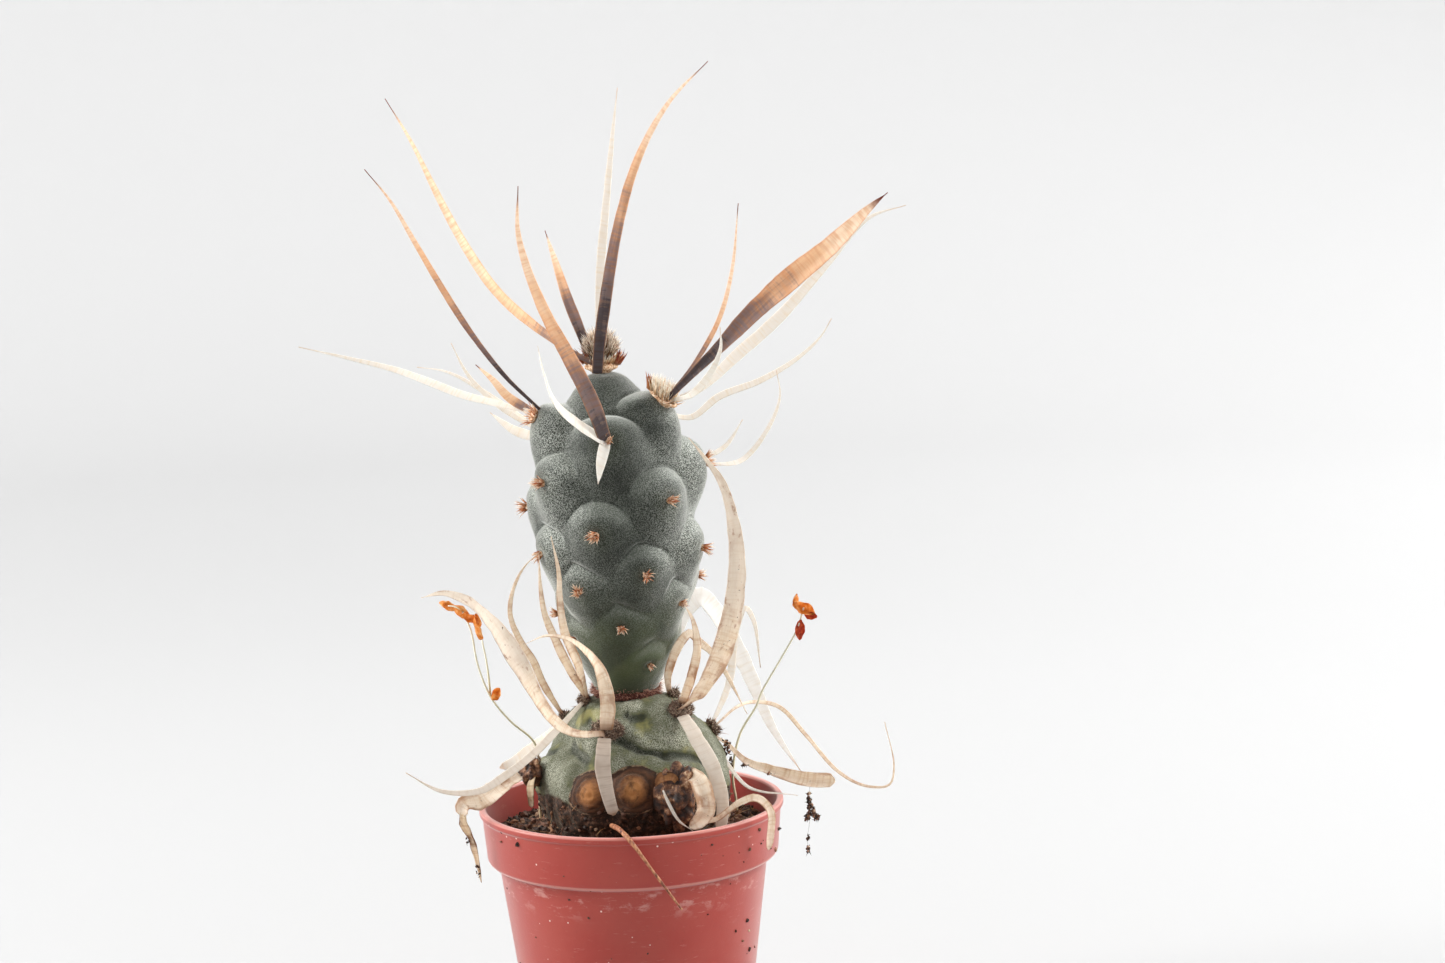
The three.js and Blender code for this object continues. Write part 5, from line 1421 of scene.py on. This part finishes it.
def add_soil(settings):
    """The soil bed, its loose crumbs, and the root fibres that lie on it."""
    add_piece("soil_bed", [soil_bed()], "soil", "soil")
    random = np.random.default_rng(41)
    level = scattered(settings.crumbs, LITTER_FROM, LITTER_TO, random)
    size = random.uniform(0.22, 1.0, settings.crumbs) ** 1.6 * settings.crumb_size / MM
    loose = crumbs(on_soil(level, 0.25 * size), size, "crumb", 42)
    add_piece("soil_crumbs", [loose], "soil", flat=True)
    level = scattered(settings.fibres, LITTER_FROM, FIBRES_TO, random)
    ways = raised(random.normal(size=(settings.fibres, 2)), random.uniform(-0.1, 0.35, settings.fibres))
    lengths = np.minimum(random.uniform(2, 6.5, settings.fibres), LITTER_TO - np.hypot(*level.T))
    add_piece("soil_fibres", [
        hairs(on_soil(level, 0.35), ways, lengths, 0.07, "root_fibre", 43, bend=0.35, rings=5),
    ], "soil")


def areole_tufts(settings, random):
    """The small tufts of the young joint's lower areoles: a felt cushion and barbs on each, smaller towards
    the foot, and each leaning its own way."""
    tufts = []
    for number, (turn, height, _, _) in enumerate(young_areoles()[FIRST_TUFT:]):
        place, way = YOUNG.areole(turn, height)
        size = 1.1 - 0.02 * number
        cushion = (0.75 * size, 0.6 * size, 0.45)
        tufts += [
            ball(place - 0.15 * way, way, cushion, 0.12, number, "young_felt", 8, 12),
            tuft_on(place - 0.1 * way, way, 0.55 * size, settings.barbs, 2.2 * size, 0.15, "barb", random,
                    spread=0.55, lift=0.25 * random.normal(size=3)),
        ]
    return tufts


# Where the neck's bristles stand, and from where and how far up crumbs stick to the old joint's foot.
BRISTLE_CIRCLE = 4.9
BRISTLES_FROM, BRISTLES_TO = 70.0, 71.3
CRUMBS_FROM, CRUMBS_REACH = 45.5, 7.5


def add_joints(settings):
    """The two stem joints, the tufts on the young one, the crumbs and root threads that stick to the old
    one's foot, and the felt and bristles round the neck."""
    add_piece("old_joint_skin", [OLD.skin(200, 300, "old_skin", old_detail)], "old_skin", "old_joint")
    young = YOUNG.skin(280, 320, "young_skin", young_detail)
    add_piece("young_joint_skin", [young], "young_skin", "young_joint")
    random = np.random.default_rng(51)
    add_piece("areole_tufts", areole_tufts(settings, random), "needle")
    count = settings.collar_bristles
    turn = random.uniform(0, 360, count)
    height = random.uniform(BRISTLES_FROM, BRISTLES_TO, count)
    flat = spin(turn, BRISTLE_CIRCLE)
    roots = raised(flat + joined(YOUNG.lean(height), 0.0), height)
    ways = raised(unit(flat), random.uniform(-0.5, 0.7, count))
    up, round_it, size = random.uniform(0, 1, (3, 1, settings.foot_crumbs))
    along = OLD.along_at(CRUMBS_FROM + CRUMBS_REACH * up**2)
    foot = OLD.places(along, 360 * round_it, 0.1, old_detail)[0][0]
    rooted = foot[::9]
    add_piece("foot_crumbs", [
        crumbs(foot, 0.14 + 0.42 * size[0] ** 2, "crumb", 54),
        hairs(rooted, random.normal(size=(len(rooted), 3)), 2.2, 0.08, "root_fibre", 55, bend=0.5, rings=4),
    ], "soil", flat=True)
    matted = felt_ring((YOUNG.lean(70), 0, 70.3), UP, (5.1, 5.1), 0.95, 53, "collar_felt")
    fringe = hairs(roots, ways, random.uniform(0.9, 2.3, count), 0.11, "bristle", 52)
    add_piece("neck_bristles", [matted, fringe], "needle")


def pincushion(place, sizes, count, length, width, finish, random, upward=0.9):
    """Hairs that stand all over the upper part of an egg. Their ways are the egg's outward ones, drawn
    upward."""
    height = random.uniform(-0.35, 1, count)
    out = raised(spin(random.uniform(0, 360, count), np.sqrt(1 - height**2)), height)
    lengths = length * random.uniform(0.5, 1.15, count)
    ways = out + upward * np.array(UP)
    return hairs(place + out * sizes, ways, lengths, width, finish, drawn_seed(random), HAIR_BEND)


def bud_scales(place, radius, count, length, width, lean, seed):
    """Papery scales that stand round a ring and are cupped toward its middle."""
    turns = np.arange(count) * 360 / count + 25 * np.sin(5 * np.arange(count))
    sizes = 1 + 0.3 * np.sin(7 * np.arange(count) + seed)
    out = spin(turns, 1.0)
    return [
        curled_leaf(np.array(place) + (*flat * radius, 0.3 * size * length), (*flat * lean, 1), length * size,
                    width * size, seed + number, "scale", 12, 14, turn=math.pi / 2)
        for number, (flat, size) in enumerate(zip(out, sizes))
    ]


def crown_wool(settings, random):
    """The crown's wool: an egg of hairs with a dark heart and white tips, in a cup of papery tan scales, with
    red scales at its sides."""
    base = np.array(CROWN_PLACE) - (0, 0, 1.5)
    heart = base + (0, 0, 2.5)
    return [
        felt_ring(base + (0, 0, 0.1), UP, (2.5, 2.5), 0.42, 61, "young_felt"),
        *bud_scales(base - (0, 0, 0.2), 2.55, 15, 2.0, 1.9, 0.4, 40),
        ball(heart, UP, (2.1, 2.1, 2.3), 0.1, 64, "felt"),
        pincushion(heart, (2.0, 2.0, 2.3), settings.wool_hairs, 2.8, 0.11, "wool", random, 1.3),
        pincushion(heart, (2.1, 2.1, 2.2), settings.wool_hairs // 8, 2.1, 0.1, "bristle", random, 1.2),
        tuft_on(base + (0, 0, 0.9), UP, 2.9, settings.wool_hairs // 4, 1.8, 0.1, "cream_wool", random, 0.6),
        tuft_on(base + (2.7, -0.6, 0.6), (0.4, -0.2, 0.9), 0.6, 22, 3.0, 0.2, "bract", random, 0.3),
        tuft_on(base + (-2.7, -0.6, 0.9), (-0.3, -0.2, 0.9), 0.6, 20, 3.0, 0.18, "bract", random, 0.3),
        tuft_on(base + (1.2, 2.6, 0.6), (0.2, 0.6, 0.9), 1.0, 14, 2.6, 0.2, "bract", random, 0.4),
    ]


def shoulder_wool(place, way, settings, random):
    """The right shoulder's wool: cream, short and upright, with thin orange-red scales at its left."""
    way = unit(way + 0.4 * np.array(UP))
    across = unit(np.array([way[2], 0, -way[0]]))
    place = place - across * 0.4
    left = place - across * 2.8 + 0.2 * way
    return [
        felt_ring(place + 0.25 * way, way, (1.9, 2.7), 0.36, 63, "young_felt"),
        tuft_on(place + way * 0.2, way, 2.1, settings.wool_hairs // 3, 3.2, 0.1, "cream_wool", random,
                0.5, lift=(-0.1, 0, 1.2)),
        tuft_on(place - across * 1.4, way, 1.2, settings.wool_hairs // 7, 3.4, 0.1, "cream_wool", random,
                0.45, lift=(-0.2, 0, 1.3)),
        tuft_on(place + across * 1.4, way, 1.2, settings.wool_hairs // 7, 2.8, 0.1, "cream_wool", random,
                0.45, lift=(0, 0, 1.2)),
        tuft_on(left, way, 0.5, 22, 3.0, 0.2, "orange_scale", random, 0.3, lift=(-0.3, 0, 1.0)),
    ]


def young_spray(facts, seed, settings):
    """A spray on the young joint: its felt, its wool or small bristles, and its ribbons."""
    number, *measures, ribbons = facts
    random = np.random.default_rng(seed)
    if number is None:
        place, way = np.array(CROWN_PLACE), np.array(UP, float)
        dress = crown_wool(settings, random)
        cushion = ball(place - (0, 0, 1.3), way, (2.7, 2.7, 1.5), 0.08, seed, "young_felt")
    else:
        pad, flatness, bristles = measures
        turn, height, _, _ = young_areoles()[number]
        place, way = YOUNG.areole(turn, height)
        dress = [tuft_on(place, way, pad * 0.7, bristles, pad * 1.2, 0.13, "barb", random, 0.9)]
        if number == 0:
            dress += shoulder_wool(place, way, settings, random)
        cushion = ball(place, way, (pad * 0.75, pad * 0.7, pad * flatness * 0.6), 0.08, seed, "young_felt")
    papers = [ribbon(one, seed * 10 + order) for order, one in enumerate(ribbons)]
    return [cushion, *dress, *papers]


def crumpled(place, sizes, seed):
    """A dead sheath: a ball whose points move in to sharp folds where two layers of noise cross zero."""
    lump = ball(place, UP, (1, 1, 1), 0, seed, "dead_skin", 54, 80)
    centre = np.array(place)
    sphere = lump.points - centre
    folds = np.abs(noise(sphere * (1, 1, 0.5), 0.55, seed)) + 0.5 * np.abs(noise(sphere, 0.24, seed + 1))
    broad = noise(sphere, 0.9, seed + 2)
    lump.points = centre + sphere * (0.72 + 0.5 * folds + 0.3 * broad)[:, None] * sizes
    return lump


def old_spray(facts, seed):
    """A spray on the old joint: a horseshoe of matted felt round the roots of its ribbons, stray bristles,
    its dead sheath and its ribbons."""
    (turn, height), pad, bristles, ribbons, *sheaths = facts
    random = np.random.default_rng(seed)
    place, way = OLD.areole(turn, height)
    ring = felt_ring(place + 0.35 * way, way, (pad * 0.85, pad * 0.45), pad * 0.36, seed, "felt")
    cushion = ball(place, way, (pad * 0.85, pad * 0.5, pad * 0.35), 0.16, seed, "felt")
    tips = ring.points - place
    picked = random.integers(0, len(tips), bristles)
    ways = unit(tips[picked]) + 0.8 * way + 0.6 * random.normal(size=(bristles, 3))
    matted = hairs(ring.points[picked], ways, random.uniform(0.3, 0.8, bristles), 0.09, "felt_hair", seed)
    upright = tuft_on(place, way, pad * 0.8, 6, 2.6, 0.09, "bristle", random, 1.2)
    lumps = [crumpled(*sheath) for sheath in sheaths]
    papers = [ribbon(one, seed * 10 + order) for order, one in enumerate(ribbons)]
    return [cushion, ring, matted, upright, *lumps, *papers]


def add_sprays(sprays, maker, first_seed, *settings):
    """Adds each spray of a joint as one piece that stands for its CAD node."""
    for order, (node, facts) in enumerate(sprays.items()):
        slot = next((name for name, members in SPRAY_SLOTS.items() if node in members), "old_spines")
        add_piece(node.replace("spine", "paper"), maker(facts, first_seed + order, *settings), slot, node)


# Where bits of moss and soil hang or cling: place, reach along x, y and z, and how many.
HANGING_BITS = [
    ((32.1, 1, 49.3), (0.25, 0.3, 0.7), 16), ((32.3, 1, 47.9), (0.4, 0.4, 0.8), 26),
    ((32.6, 1, 46.4), (0.7, 0.4, 0.8), 40), ((31.7, 1, 45.4), (0.4, 0.4, 0.5), 20),
    ((33.5, 1, 45.3), (0.5, 0.4, 0.4), 20),
    ((31.7, 1, 41.7), (0.5, 0.4, 0.4), 9), ((31.7, 1, 39.4), (0.4, 0.4, 0.6), 12),
    ((17.6, 2, 58.5), (0.6, 0.6, 1.6), 34), ((18.2, 2.5, 55.6), (0.35, 0.4, 1.2), 18),
    ((20.8, 3.2, 55.0), (0.6, 0.3, 0.3), 6), ((25.2, 3.4, 53.2), (0.4, 0.3, 0.2), 4),
    ((-28.9, -11.4, 46.5), (0.4, 0.2, 0.5), 5), ((-27.5, -10.9, 40.5), (0.3, 0.2, 1.2), 9),
]
# The cobweb that they hang on, from the end of a far right ribbon, and its radius.
HANGING_THREAD = [(32.5, 2, 52), (32.2, 1.2, 49.2), (32.3, 1, 45.8), (31.7, 1, 41.7), (31.7, 1, 39.2)]
COBWEB_RADIUS = 0.02


def add_hanging_bits():
    """Angular bits of moss and soil, with short dark threads that join them, on a fine cobweb."""
    random = np.random.default_rng(81)
    places = np.concatenate([
        place + random.uniform(-1, 1, (count, 3)) * reach for place, reach, count in HANGING_BITS
    ])
    bits = crumbs(places, random.uniform(0.12, 0.42, len(places)), "crumb", 82)
    ways = random.normal(size=(len(places), 3)) * (0.7, 0.4, 1.0)
    threads = hairs(places, ways, random.uniform(0.3, 0.8, len(places)), 0.09, "moss", 83)
    cobweb = tube(HANGING_THREAD, COBWEB_RADIUS, COBWEB_RADIUS, "moss", sides=5, pitch=0.4)
    add_piece("hanging_bits", [bits, threads, cobweb], "soil", flat=True)


def add_needle():
    """The dry needle that has fallen over the rim."""
    add_piece("fallen_needle", [
        tube(NEEDLE_ROUTE, 0.5, 0.16, "needle", sides=10, pitch=0.35, waver=0.25, seed=71),
    ], "needle", "fallen_spine")


# How far a dry leaf is rolled up to each side of its midrib, in radians.
LEAF_ROLL = 1.25
LEAF_THICKNESS = 0.16


def curled_leaf(place, way, length, width, seed, finish="leaf", rows=28, columns=24, turn=0.0):
    """A curled dry leaf: a pointed oval sheet, rolled up across its midrib, bent along it and twisted a
    little, with a few shallow waves in its edge. It is turned about its length by an angle."""
    along = np.linspace(-1, 1, rows)[:, None]
    angle = np.linspace(0, 2 * np.pi, columns, endpoint=False)[None, :]
    across, rise = -np.cos(angle), -np.sin(angle)
    spot = joined(along * 2, across, 0.0)
    edge = 1 + 0.22 * noise(spot, 0.7, seed + 1)
    half = width / 2 * np.clip(1 - np.abs(along) ** 1.7, 0.02, 1) ** 0.6 * edge
    roll = across * LEAF_ROLL
    lift = half / LEAF_ROLL * (1 - np.cos(roll)) + 0.14 * length * along**2
    lift = lift + 0.12 * width * noise(spot, 0.9, seed)
    side = half / LEAF_ROLL * np.sin(roll)
    twist = turn + 0.5 * along
    flat = joined(
        -(lift * np.cos(twist) - side * np.sin(twist)) - rise * LEAF_THICKNESS / 2,
        lift * np.sin(twist) + side * np.cos(twist),
        along * length / 2,
    )
    rings = flat @ axes_for(way) + np.array(place)
    return closed_skin(rings, rings[0].mean(axis=0), rings[-1].mean(axis=0), finish=finish)


# The seedlings: piece, CAD node, stalks and leaves. A stalk is its route, its shares of the stalk radius at
# foot and tip, and its rings' distance. A leaf is its place, way, length, width, seed and finish.
WEEDS = [
    ("left_seedling", "left_weed", [
        (LEFT_WEED, 1, 0.7, 0.8), (LEFT_FORK, 0.8, 0.6, 0.8),
        ([(-28.8, 0, 85.6), (-30.2, 0.3, 86.6), (-31.5, 0.5, 86.8)], 0.7, 0.5, 0.4),
    ], [
        ((-23.7, 1.4, 70.2), (0.7, 0.1, 0.7), 2.6, 2.3, 1),
        ((-29.2, 0, 85.6), (-0.9, 0, 0.4), 3.6, 2.5, 2),
        ((-31.6, 0.4, 86.7), (-0.95, 0.1, 0.2), 3.4, 2.2, 3),
        ((-26.8, -0.5, 82.9), (0.15, 0.1, -0.95), 5.2, 3.3, 4),
        ((-27.5, -0.2, 84.6), (0.75, 0.1, -0.6), 3.4, 2.2, 5),
    ]),
    ("right_seedling", "right_weed", [(RIGHT_WEED, 1, 0.6, 0.8)], [
        ((31.6, 5, 79.4), (0.3, 0, 0.95), 3.7, 2.3, 6, "pod"),
        ((32.3, 5, 83.4), (0.68, 0.1, -0.7), 4.4, 3.0, 7),
        ((31.2, 5, 84.7), (0.2, 0, 1.0), 2.4, 2.0, 8),
        ((33.6, 5, 81.9), (0.9, 0, -0.4), 2.4, 2.0, 9, "pod"),
    ]),
]


def add_weeds(settings):
    """The two dead seedlings: thin straw stalks with curled orange leaves and red pods."""
    for name, node, stalks, leaves in WEEDS:
        radius = settings.stalk / MM
        parts = [
            tube(route, radius * foot, radius * tip, "stalk", pitch=pitch)
            for route, foot, tip, pitch in stalks
        ]
        parts += [curled_leaf(*leaf) for leaf in leaves]
        add_piece(name, parts, "weed", node)


# The camera's place and tilt, worked out from the photograph's own view.
CAMERA_PLACE = (18.5, -601.8, 198.7)
CAMERA_PITCH = 8.6
CAMERA_ROLL = 2.0
SENSOR_WIDTH = 36
# The floor turns up all round into a pale wall: radius of the flat part, of the turn, and the wall's height.
FLOOR_RADIUS = 0.8
SWEEP_RADIUS = 0.5
WALL_HEIGHT = 1.1
# Each light: name, place, size, and the setting and share of it that give its power. They look at the plant.
LIGHTS = [
    ("top_light", (0, 0.55, 1.15), 1.0, "top_light", 1),
    ("left_light", (-0.85, -0.05, 0.6), 0.6, "left_light", 1),
    ("right_light", (0.85, 0, 0.6), 0.6, "right_light", 1),
    ("rear_light", (0.65, 0.6, 0.6), 0.5, "right_light", 0.45),
]
LIGHT_AIM = (0, 0, 0.09)


def card_finish():
    """Matt white card, paler away from the middle and up the wall."""
    finish = Finish("white_card", 0.9)
    level = finish.place((1, 1, 0))
    out = finish.add("ShaderNodeVectorMath", {0: level}, operation="LENGTH").outputs["Value"]
    return finish.done(finish.coat("cactus_stage.card", ("d0d0d0", out, 400, 1300)))


def add_floor(columns=128):
    """The floor: a level disc whose edge turns up along a quarter circle into an upright wall."""
    bend = np.radians(np.linspace(0, 90, 24))
    radius = np.concatenate([
        [0.05, 0.3, 0.6], FLOOR_RADIUS + SWEEP_RADIUS * np.sin(bend), [FLOOR_RADIUS + SWEEP_RADIUS],
    ])
    height = np.concatenate([[0, 0, 0], SWEEP_RADIUS * (1 - np.cos(bend)), [WALL_HEIGHT]])
    rings = turned(np.column_stack([radius, height]), columns)
    grid = 1 + np.arange(rings[..., 0].size).reshape(rings.shape[:2])
    after = np.roll(grid, -1, axis=1)
    quads = np.stack([grid[:-1], grid[1:], after[1:], after[:-1]], axis=-1).reshape(-1, 4)
    middle = joined(0, grid[0], after[0])
    mesh = bpy.data.meshes.new("floor")
    mesh.from_pydata(
        np.concatenate([[(0, 0, 0)], rings.reshape(-1, 3)]).tolist(), [], quads.tolist() + middle.tolist(),
    )
    mesh.polygons.foreach_set("use_smooth", np.full(len(mesh.polygons), True))
    mesh.materials.append(card_finish())
    floor = bpy.data.objects.new("floor", mesh)
    bpy.context.scene.collection.objects.link(floor)


def add_area_light(name, place, size, power):
    """A soft square light that looks at the plant."""
    data = bpy.data.lights.new(name, "AREA")
    data.size = size
    data.energy = power
    light = bpy.data.objects.new(name, data)
    back = unit(np.array(place, float) - LIGHT_AIM)
    side = unit(np.cross((0, 1, 0) if abs(back[2]) > 0.95 else UP, back))
    light.matrix_world = Matrix(np.vstack([
        np.column_stack([side, np.cross(back, side), back, place]), (0, 0, 0, 1),
    ]).tolist())
    bpy.context.scene.collection.objects.link(light)


def add_world(settings):
    """A pale even sky."""
    world = bpy.data.worlds.new("pale_sky")
    world.use_nodes = True
    sky = world.node_tree.nodes["Background"]
    sky.inputs["Color"].default_value = tint("f2f4f7")
    sky.inputs["Strength"].default_value = settings.sky
    bpy.context.scene.world = world


def add_camera(settings):
    """The camera at the photograph's viewing angle, pitched down and rolled about its own axis."""
    pitch, roll = math.radians(CAMERA_PITCH), math.radians(CAMERA_ROLL)
    forward = np.array([0, math.cos(pitch), -math.sin(pitch)])
    level, upright = np.array([1.0, 0, 0]), np.array([0, math.sin(pitch), math.cos(pitch)])
    right = math.cos(roll) * level - math.sin(roll) * upright
    top = math.sin(roll) * level + math.cos(roll) * upright
    data = bpy.data.cameras.new("camera")
    data.lens = settings.lens
    data.sensor_width = SENSOR_WIDTH
    data.sensor_fit = "HORIZONTAL"
    data.clip_start = 0.01
    camera = bpy.data.objects.new("camera", data)
    camera.matrix_world = Matrix(np.vstack([
        np.column_stack([right, top, -forward, np.array(CAMERA_PLACE) * MM]), (0, 0, 0, 1),
    ]).tolist())
    bpy.context.scene.collection.objects.link(camera)
    bpy.context.scene.camera = camera


def add_stage(settings):
    """The floor, the lights, the sky and the camera."""
    add_floor()
    add_world(settings)
    for name, place, size, setting, share in LIGHTS:
        add_area_light(name, place, size, getattr(settings, setting) * share)
    add_camera(settings)
    bpy.context.scene.view_settings.view_transform = "Standard"


def colour_property(name, code, description):
    """A colour that a user may change."""
    return FloatVectorProperty(
        name=name, description=description, default=tint(code), size=4, min=0, max=1, subtype="COLOR",
    )


class CactusPotSettings(bpy.types.PropertyGroup):
    """What may be changed about the pot."""

    colour: colour_property("Colour", "a1352a", "Colour of the moulded plastic")
    roughness: FloatProperty(
        name="Roughness", description="How matt the plastic is", default=0.36, min=0.1, max=1,
        subtype="FACTOR",
    )
    specks: IntProperty(
        name="Specks", description="Small soil specks on the pot's outside", default=60, min=0,
    )


class CactusSoilSettings(bpy.types.PropertyGroup):
    """What may be changed about the soil."""

    crumbs: IntProperty(name="Crumbs", description="Loose crumbs on the soil", default=2600, min=0)
    crumb_size: FloatProperty(
        name="Crumb size", description="Radius of the largest crumbs", default=0.95 * MM, min=0,
        unit="LENGTH",
    )
    fibres: IntProperty(name="Root fibres", description="Thin dry roots on the soil", default=170, min=0)


class CactusSkinSettings(bpy.types.PropertyGroup):
    """What may be changed about the stem joints."""

    young: colour_property("Young skin", "1c2119", "Colour of the young joint under its frost")
    old: colour_property("Old skin", "4a4c36", "Colour of the old joint under its frost")
    frost: FloatProperty(
        name="Frost", description="How strongly the pale frost shows", default=0.5, min=0, max=1,
        subtype="FACTOR",
    )
    frost_size: FloatProperty(
        name="Frost size", description="Size of a speck of frost", default=0.17 * MM, min=0, unit="LENGTH",
    )
    barbs: IntProperty(name="Barbs", description="Barbs in each small tuft", default=34, min=0)
    foot_crumbs: IntProperty(
        name="Foot crumbs", description="Crumbs stuck to the old joint's foot", default=700, min=0,
    )
    collar_bristles: IntProperty(
        name="Neck bristles", description="Bristles round the neck", default=1100, min=0,
    )


class CactusSpineSettings(bpy.types.PropertyGroup):
    """What may be changed about the papery spines."""

    amber: colour_property("Young paper", "fff0de", "Colour of the young spines' amber part")
    cream: colour_property("Pale paper", "f4efe8", "Colour of the faded spines")
    beige: colour_property("Old paper", "fff4e4", "Colour of the old spines")
    wool_hairs: IntProperty(name="Wool hairs", description="Hairs in the crown's wool", default=900, min=0)


class CactusWeedSettings(bpy.types.PropertyGroup):
    """What may be changed about the dead seedlings."""

    leaf: colour_property("Leaf", "f0a54e", "Colour of the dry leaves")
    pod: colour_property("Pod", "c4492f", "Colour of the pods")
    stalk: FloatProperty(
        name="Stalk radius", description="Radius of a stalk at its foot", default=0.26 * MM, min=0,
        unit="LENGTH",
    )


class CactusStageSettings(bpy.types.PropertyGroup):
    """What may be changed about the floor, the lights and the camera."""

    card: colour_property("Card", "aeaeae", "Colour of the floor and the wall behind")
    sky: FloatProperty(name="Sky", description="Strength of the even light", default=0.03, min=0)
    top_light: FloatProperty(
        name="Top light", description="Watts of the top light", default=8.0, min=0, unit="POWER",
    )
    left_light: FloatProperty(
        name="Left light", description="Watts of the left light", default=14.0, min=0, unit="POWER",
    )
    right_light: FloatProperty(
        name="Right light", description="Watts of the right light", default=11.0, min=0, unit="POWER",
    )
    lens: FloatProperty(
        name="Lens", description="Focal length of the camera", default=85, min=1, subtype="DISTANCE_CAMERA",
    )


class CACTUS_OT_pot(bpy.types.Operator):
    """Make the pot and the soil specks that stick to it"""

    bl_idname = "cactus.pot"
    bl_label = "Pot"

    def execute(self, context):
        add_pot(context.scene.cactus_pot)
        return {"FINISHED"}


class CACTUS_OT_soil(bpy.types.Operator):
    """Make the soil, its crumbs and its root fibres"""

    bl_idname = "cactus.soil"
    bl_label = "Soil"

    def execute(self, context):
        add_soil(context.scene.cactus_soil)
        return {"FINISHED"}


class CACTUS_OT_joints(bpy.types.Operator):
    """Make the two stem joints with their tufts and neck bristles"""

    bl_idname = "cactus.joints"
    bl_label = "Stem joints"

    def execute(self, context):
        add_joints(context.scene.cactus_skin)
        return {"FINISHED"}


class CACTUS_OT_young_spines(bpy.types.Operator):
    """Make the sprays of spines on the young joint"""

    bl_idname = "cactus.young_spines"
    bl_label = "Young spines"

    def execute(self, context):
        add_sprays(YOUNG_SPRAYS, young_spray, 100, context.scene.cactus_spines)
        return {"FINISHED"}


class CACTUS_OT_old_spines(bpy.types.Operator):
    """Make the sprays of spines and the dead sheaths on the old joint"""

    bl_idname = "cactus.old_spines"
    bl_label = "Old spines"

    def execute(self, context):
        add_sprays(OLD_SPRAYS, old_spray, 200)
        add_hanging_bits()
        return {"FINISHED"}


class CACTUS_OT_needle(bpy.types.Operator):
    """Make the dry needle that lies over the rim"""

    bl_idname = "cactus.needle"
    bl_label = "Fallen needle"

    def execute(self, context):
        add_needle()
        return {"FINISHED"}


class CACTUS_OT_weeds(bpy.types.Operator):
    """Make the two dead seedlings"""

    bl_idname = "cactus.weeds"
    bl_label = "Seedlings"

    def execute(self, context):
        add_weeds(context.scene.cactus_weeds)
        return {"FINISHED"}


class CACTUS_OT_stage(bpy.types.Operator):
    """Make the floor, the lights and the camera"""

    bl_idname = "cactus.stage"
    bl_label = "Stage"

    def execute(self, context):
        add_stage(context.scene.cactus_stage)
        return {"FINISHED"}


OPERATORS = (
    CACTUS_OT_pot, CACTUS_OT_soil, CACTUS_OT_joints, CACTUS_OT_young_spines, CACTUS_OT_old_spines,
    CACTUS_OT_needle, CACTUS_OT_weeds, CACTUS_OT_stage,
)
SETTINGS = {
    "cactus_pot": CactusPotSettings,
    "cactus_soil": CactusSoilSettings,
    "cactus_skin": CactusSkinSettings,
    "cactus_spines": CactusSpineSettings,
    "cactus_weeds": CactusWeedSettings,
    "cactus_stage": CactusStageSettings,
}


class CACTUS_PT_panel(bpy.types.Panel):
    """Lists the cactus's pieces and what may be changed about them"""

    bl_idname = "CACTUS_PT_panel"
    bl_label = "Paper spine cactus"
    bl_space_type = "VIEW_3D"
    bl_region_type = "UI"
    bl_category = "Cactus"

    def draw(self, context):
        for operator in OPERATORS:
            self.layout.operator(operator.bl_idname)
        for name, group in SETTINGS.items():
            box = self.layout.box()
            for key in group.__annotations__:
                box.prop(getattr(context.scene, name), key)


def register():
    """Registers the settings, the operators and the panel."""
    for name, group in SETTINGS.items():
        bpy.utils.register_class(group)
        setattr(bpy.types.Scene, name, PointerProperty(type=group))
    for cls in (*OPERATORS, CACTUS_PT_panel):
        bpy.utils.register_class(cls)


def unregister():
    """Takes away what register added."""
    for cls in (CACTUS_PT_panel, *reversed(OPERATORS)):
        bpy.utils.unregister_class(cls)
    for name, group in SETTINGS.items():
        delattr(bpy.types.Scene, name)
        bpy.utils.unregister_class(group)


def main():
    register()
    bpy.ops.cactus.pot()
    bpy.ops.cactus.soil()
    bpy.ops.cactus.joints()
    bpy.ops.cactus.young_spines()
    bpy.ops.cactus.old_spines()
    bpy.ops.cactus.needle()
    bpy.ops.cactus.weeds()
    bpy.ops.cactus.stage()


if __name__ == "__main__":
    main()
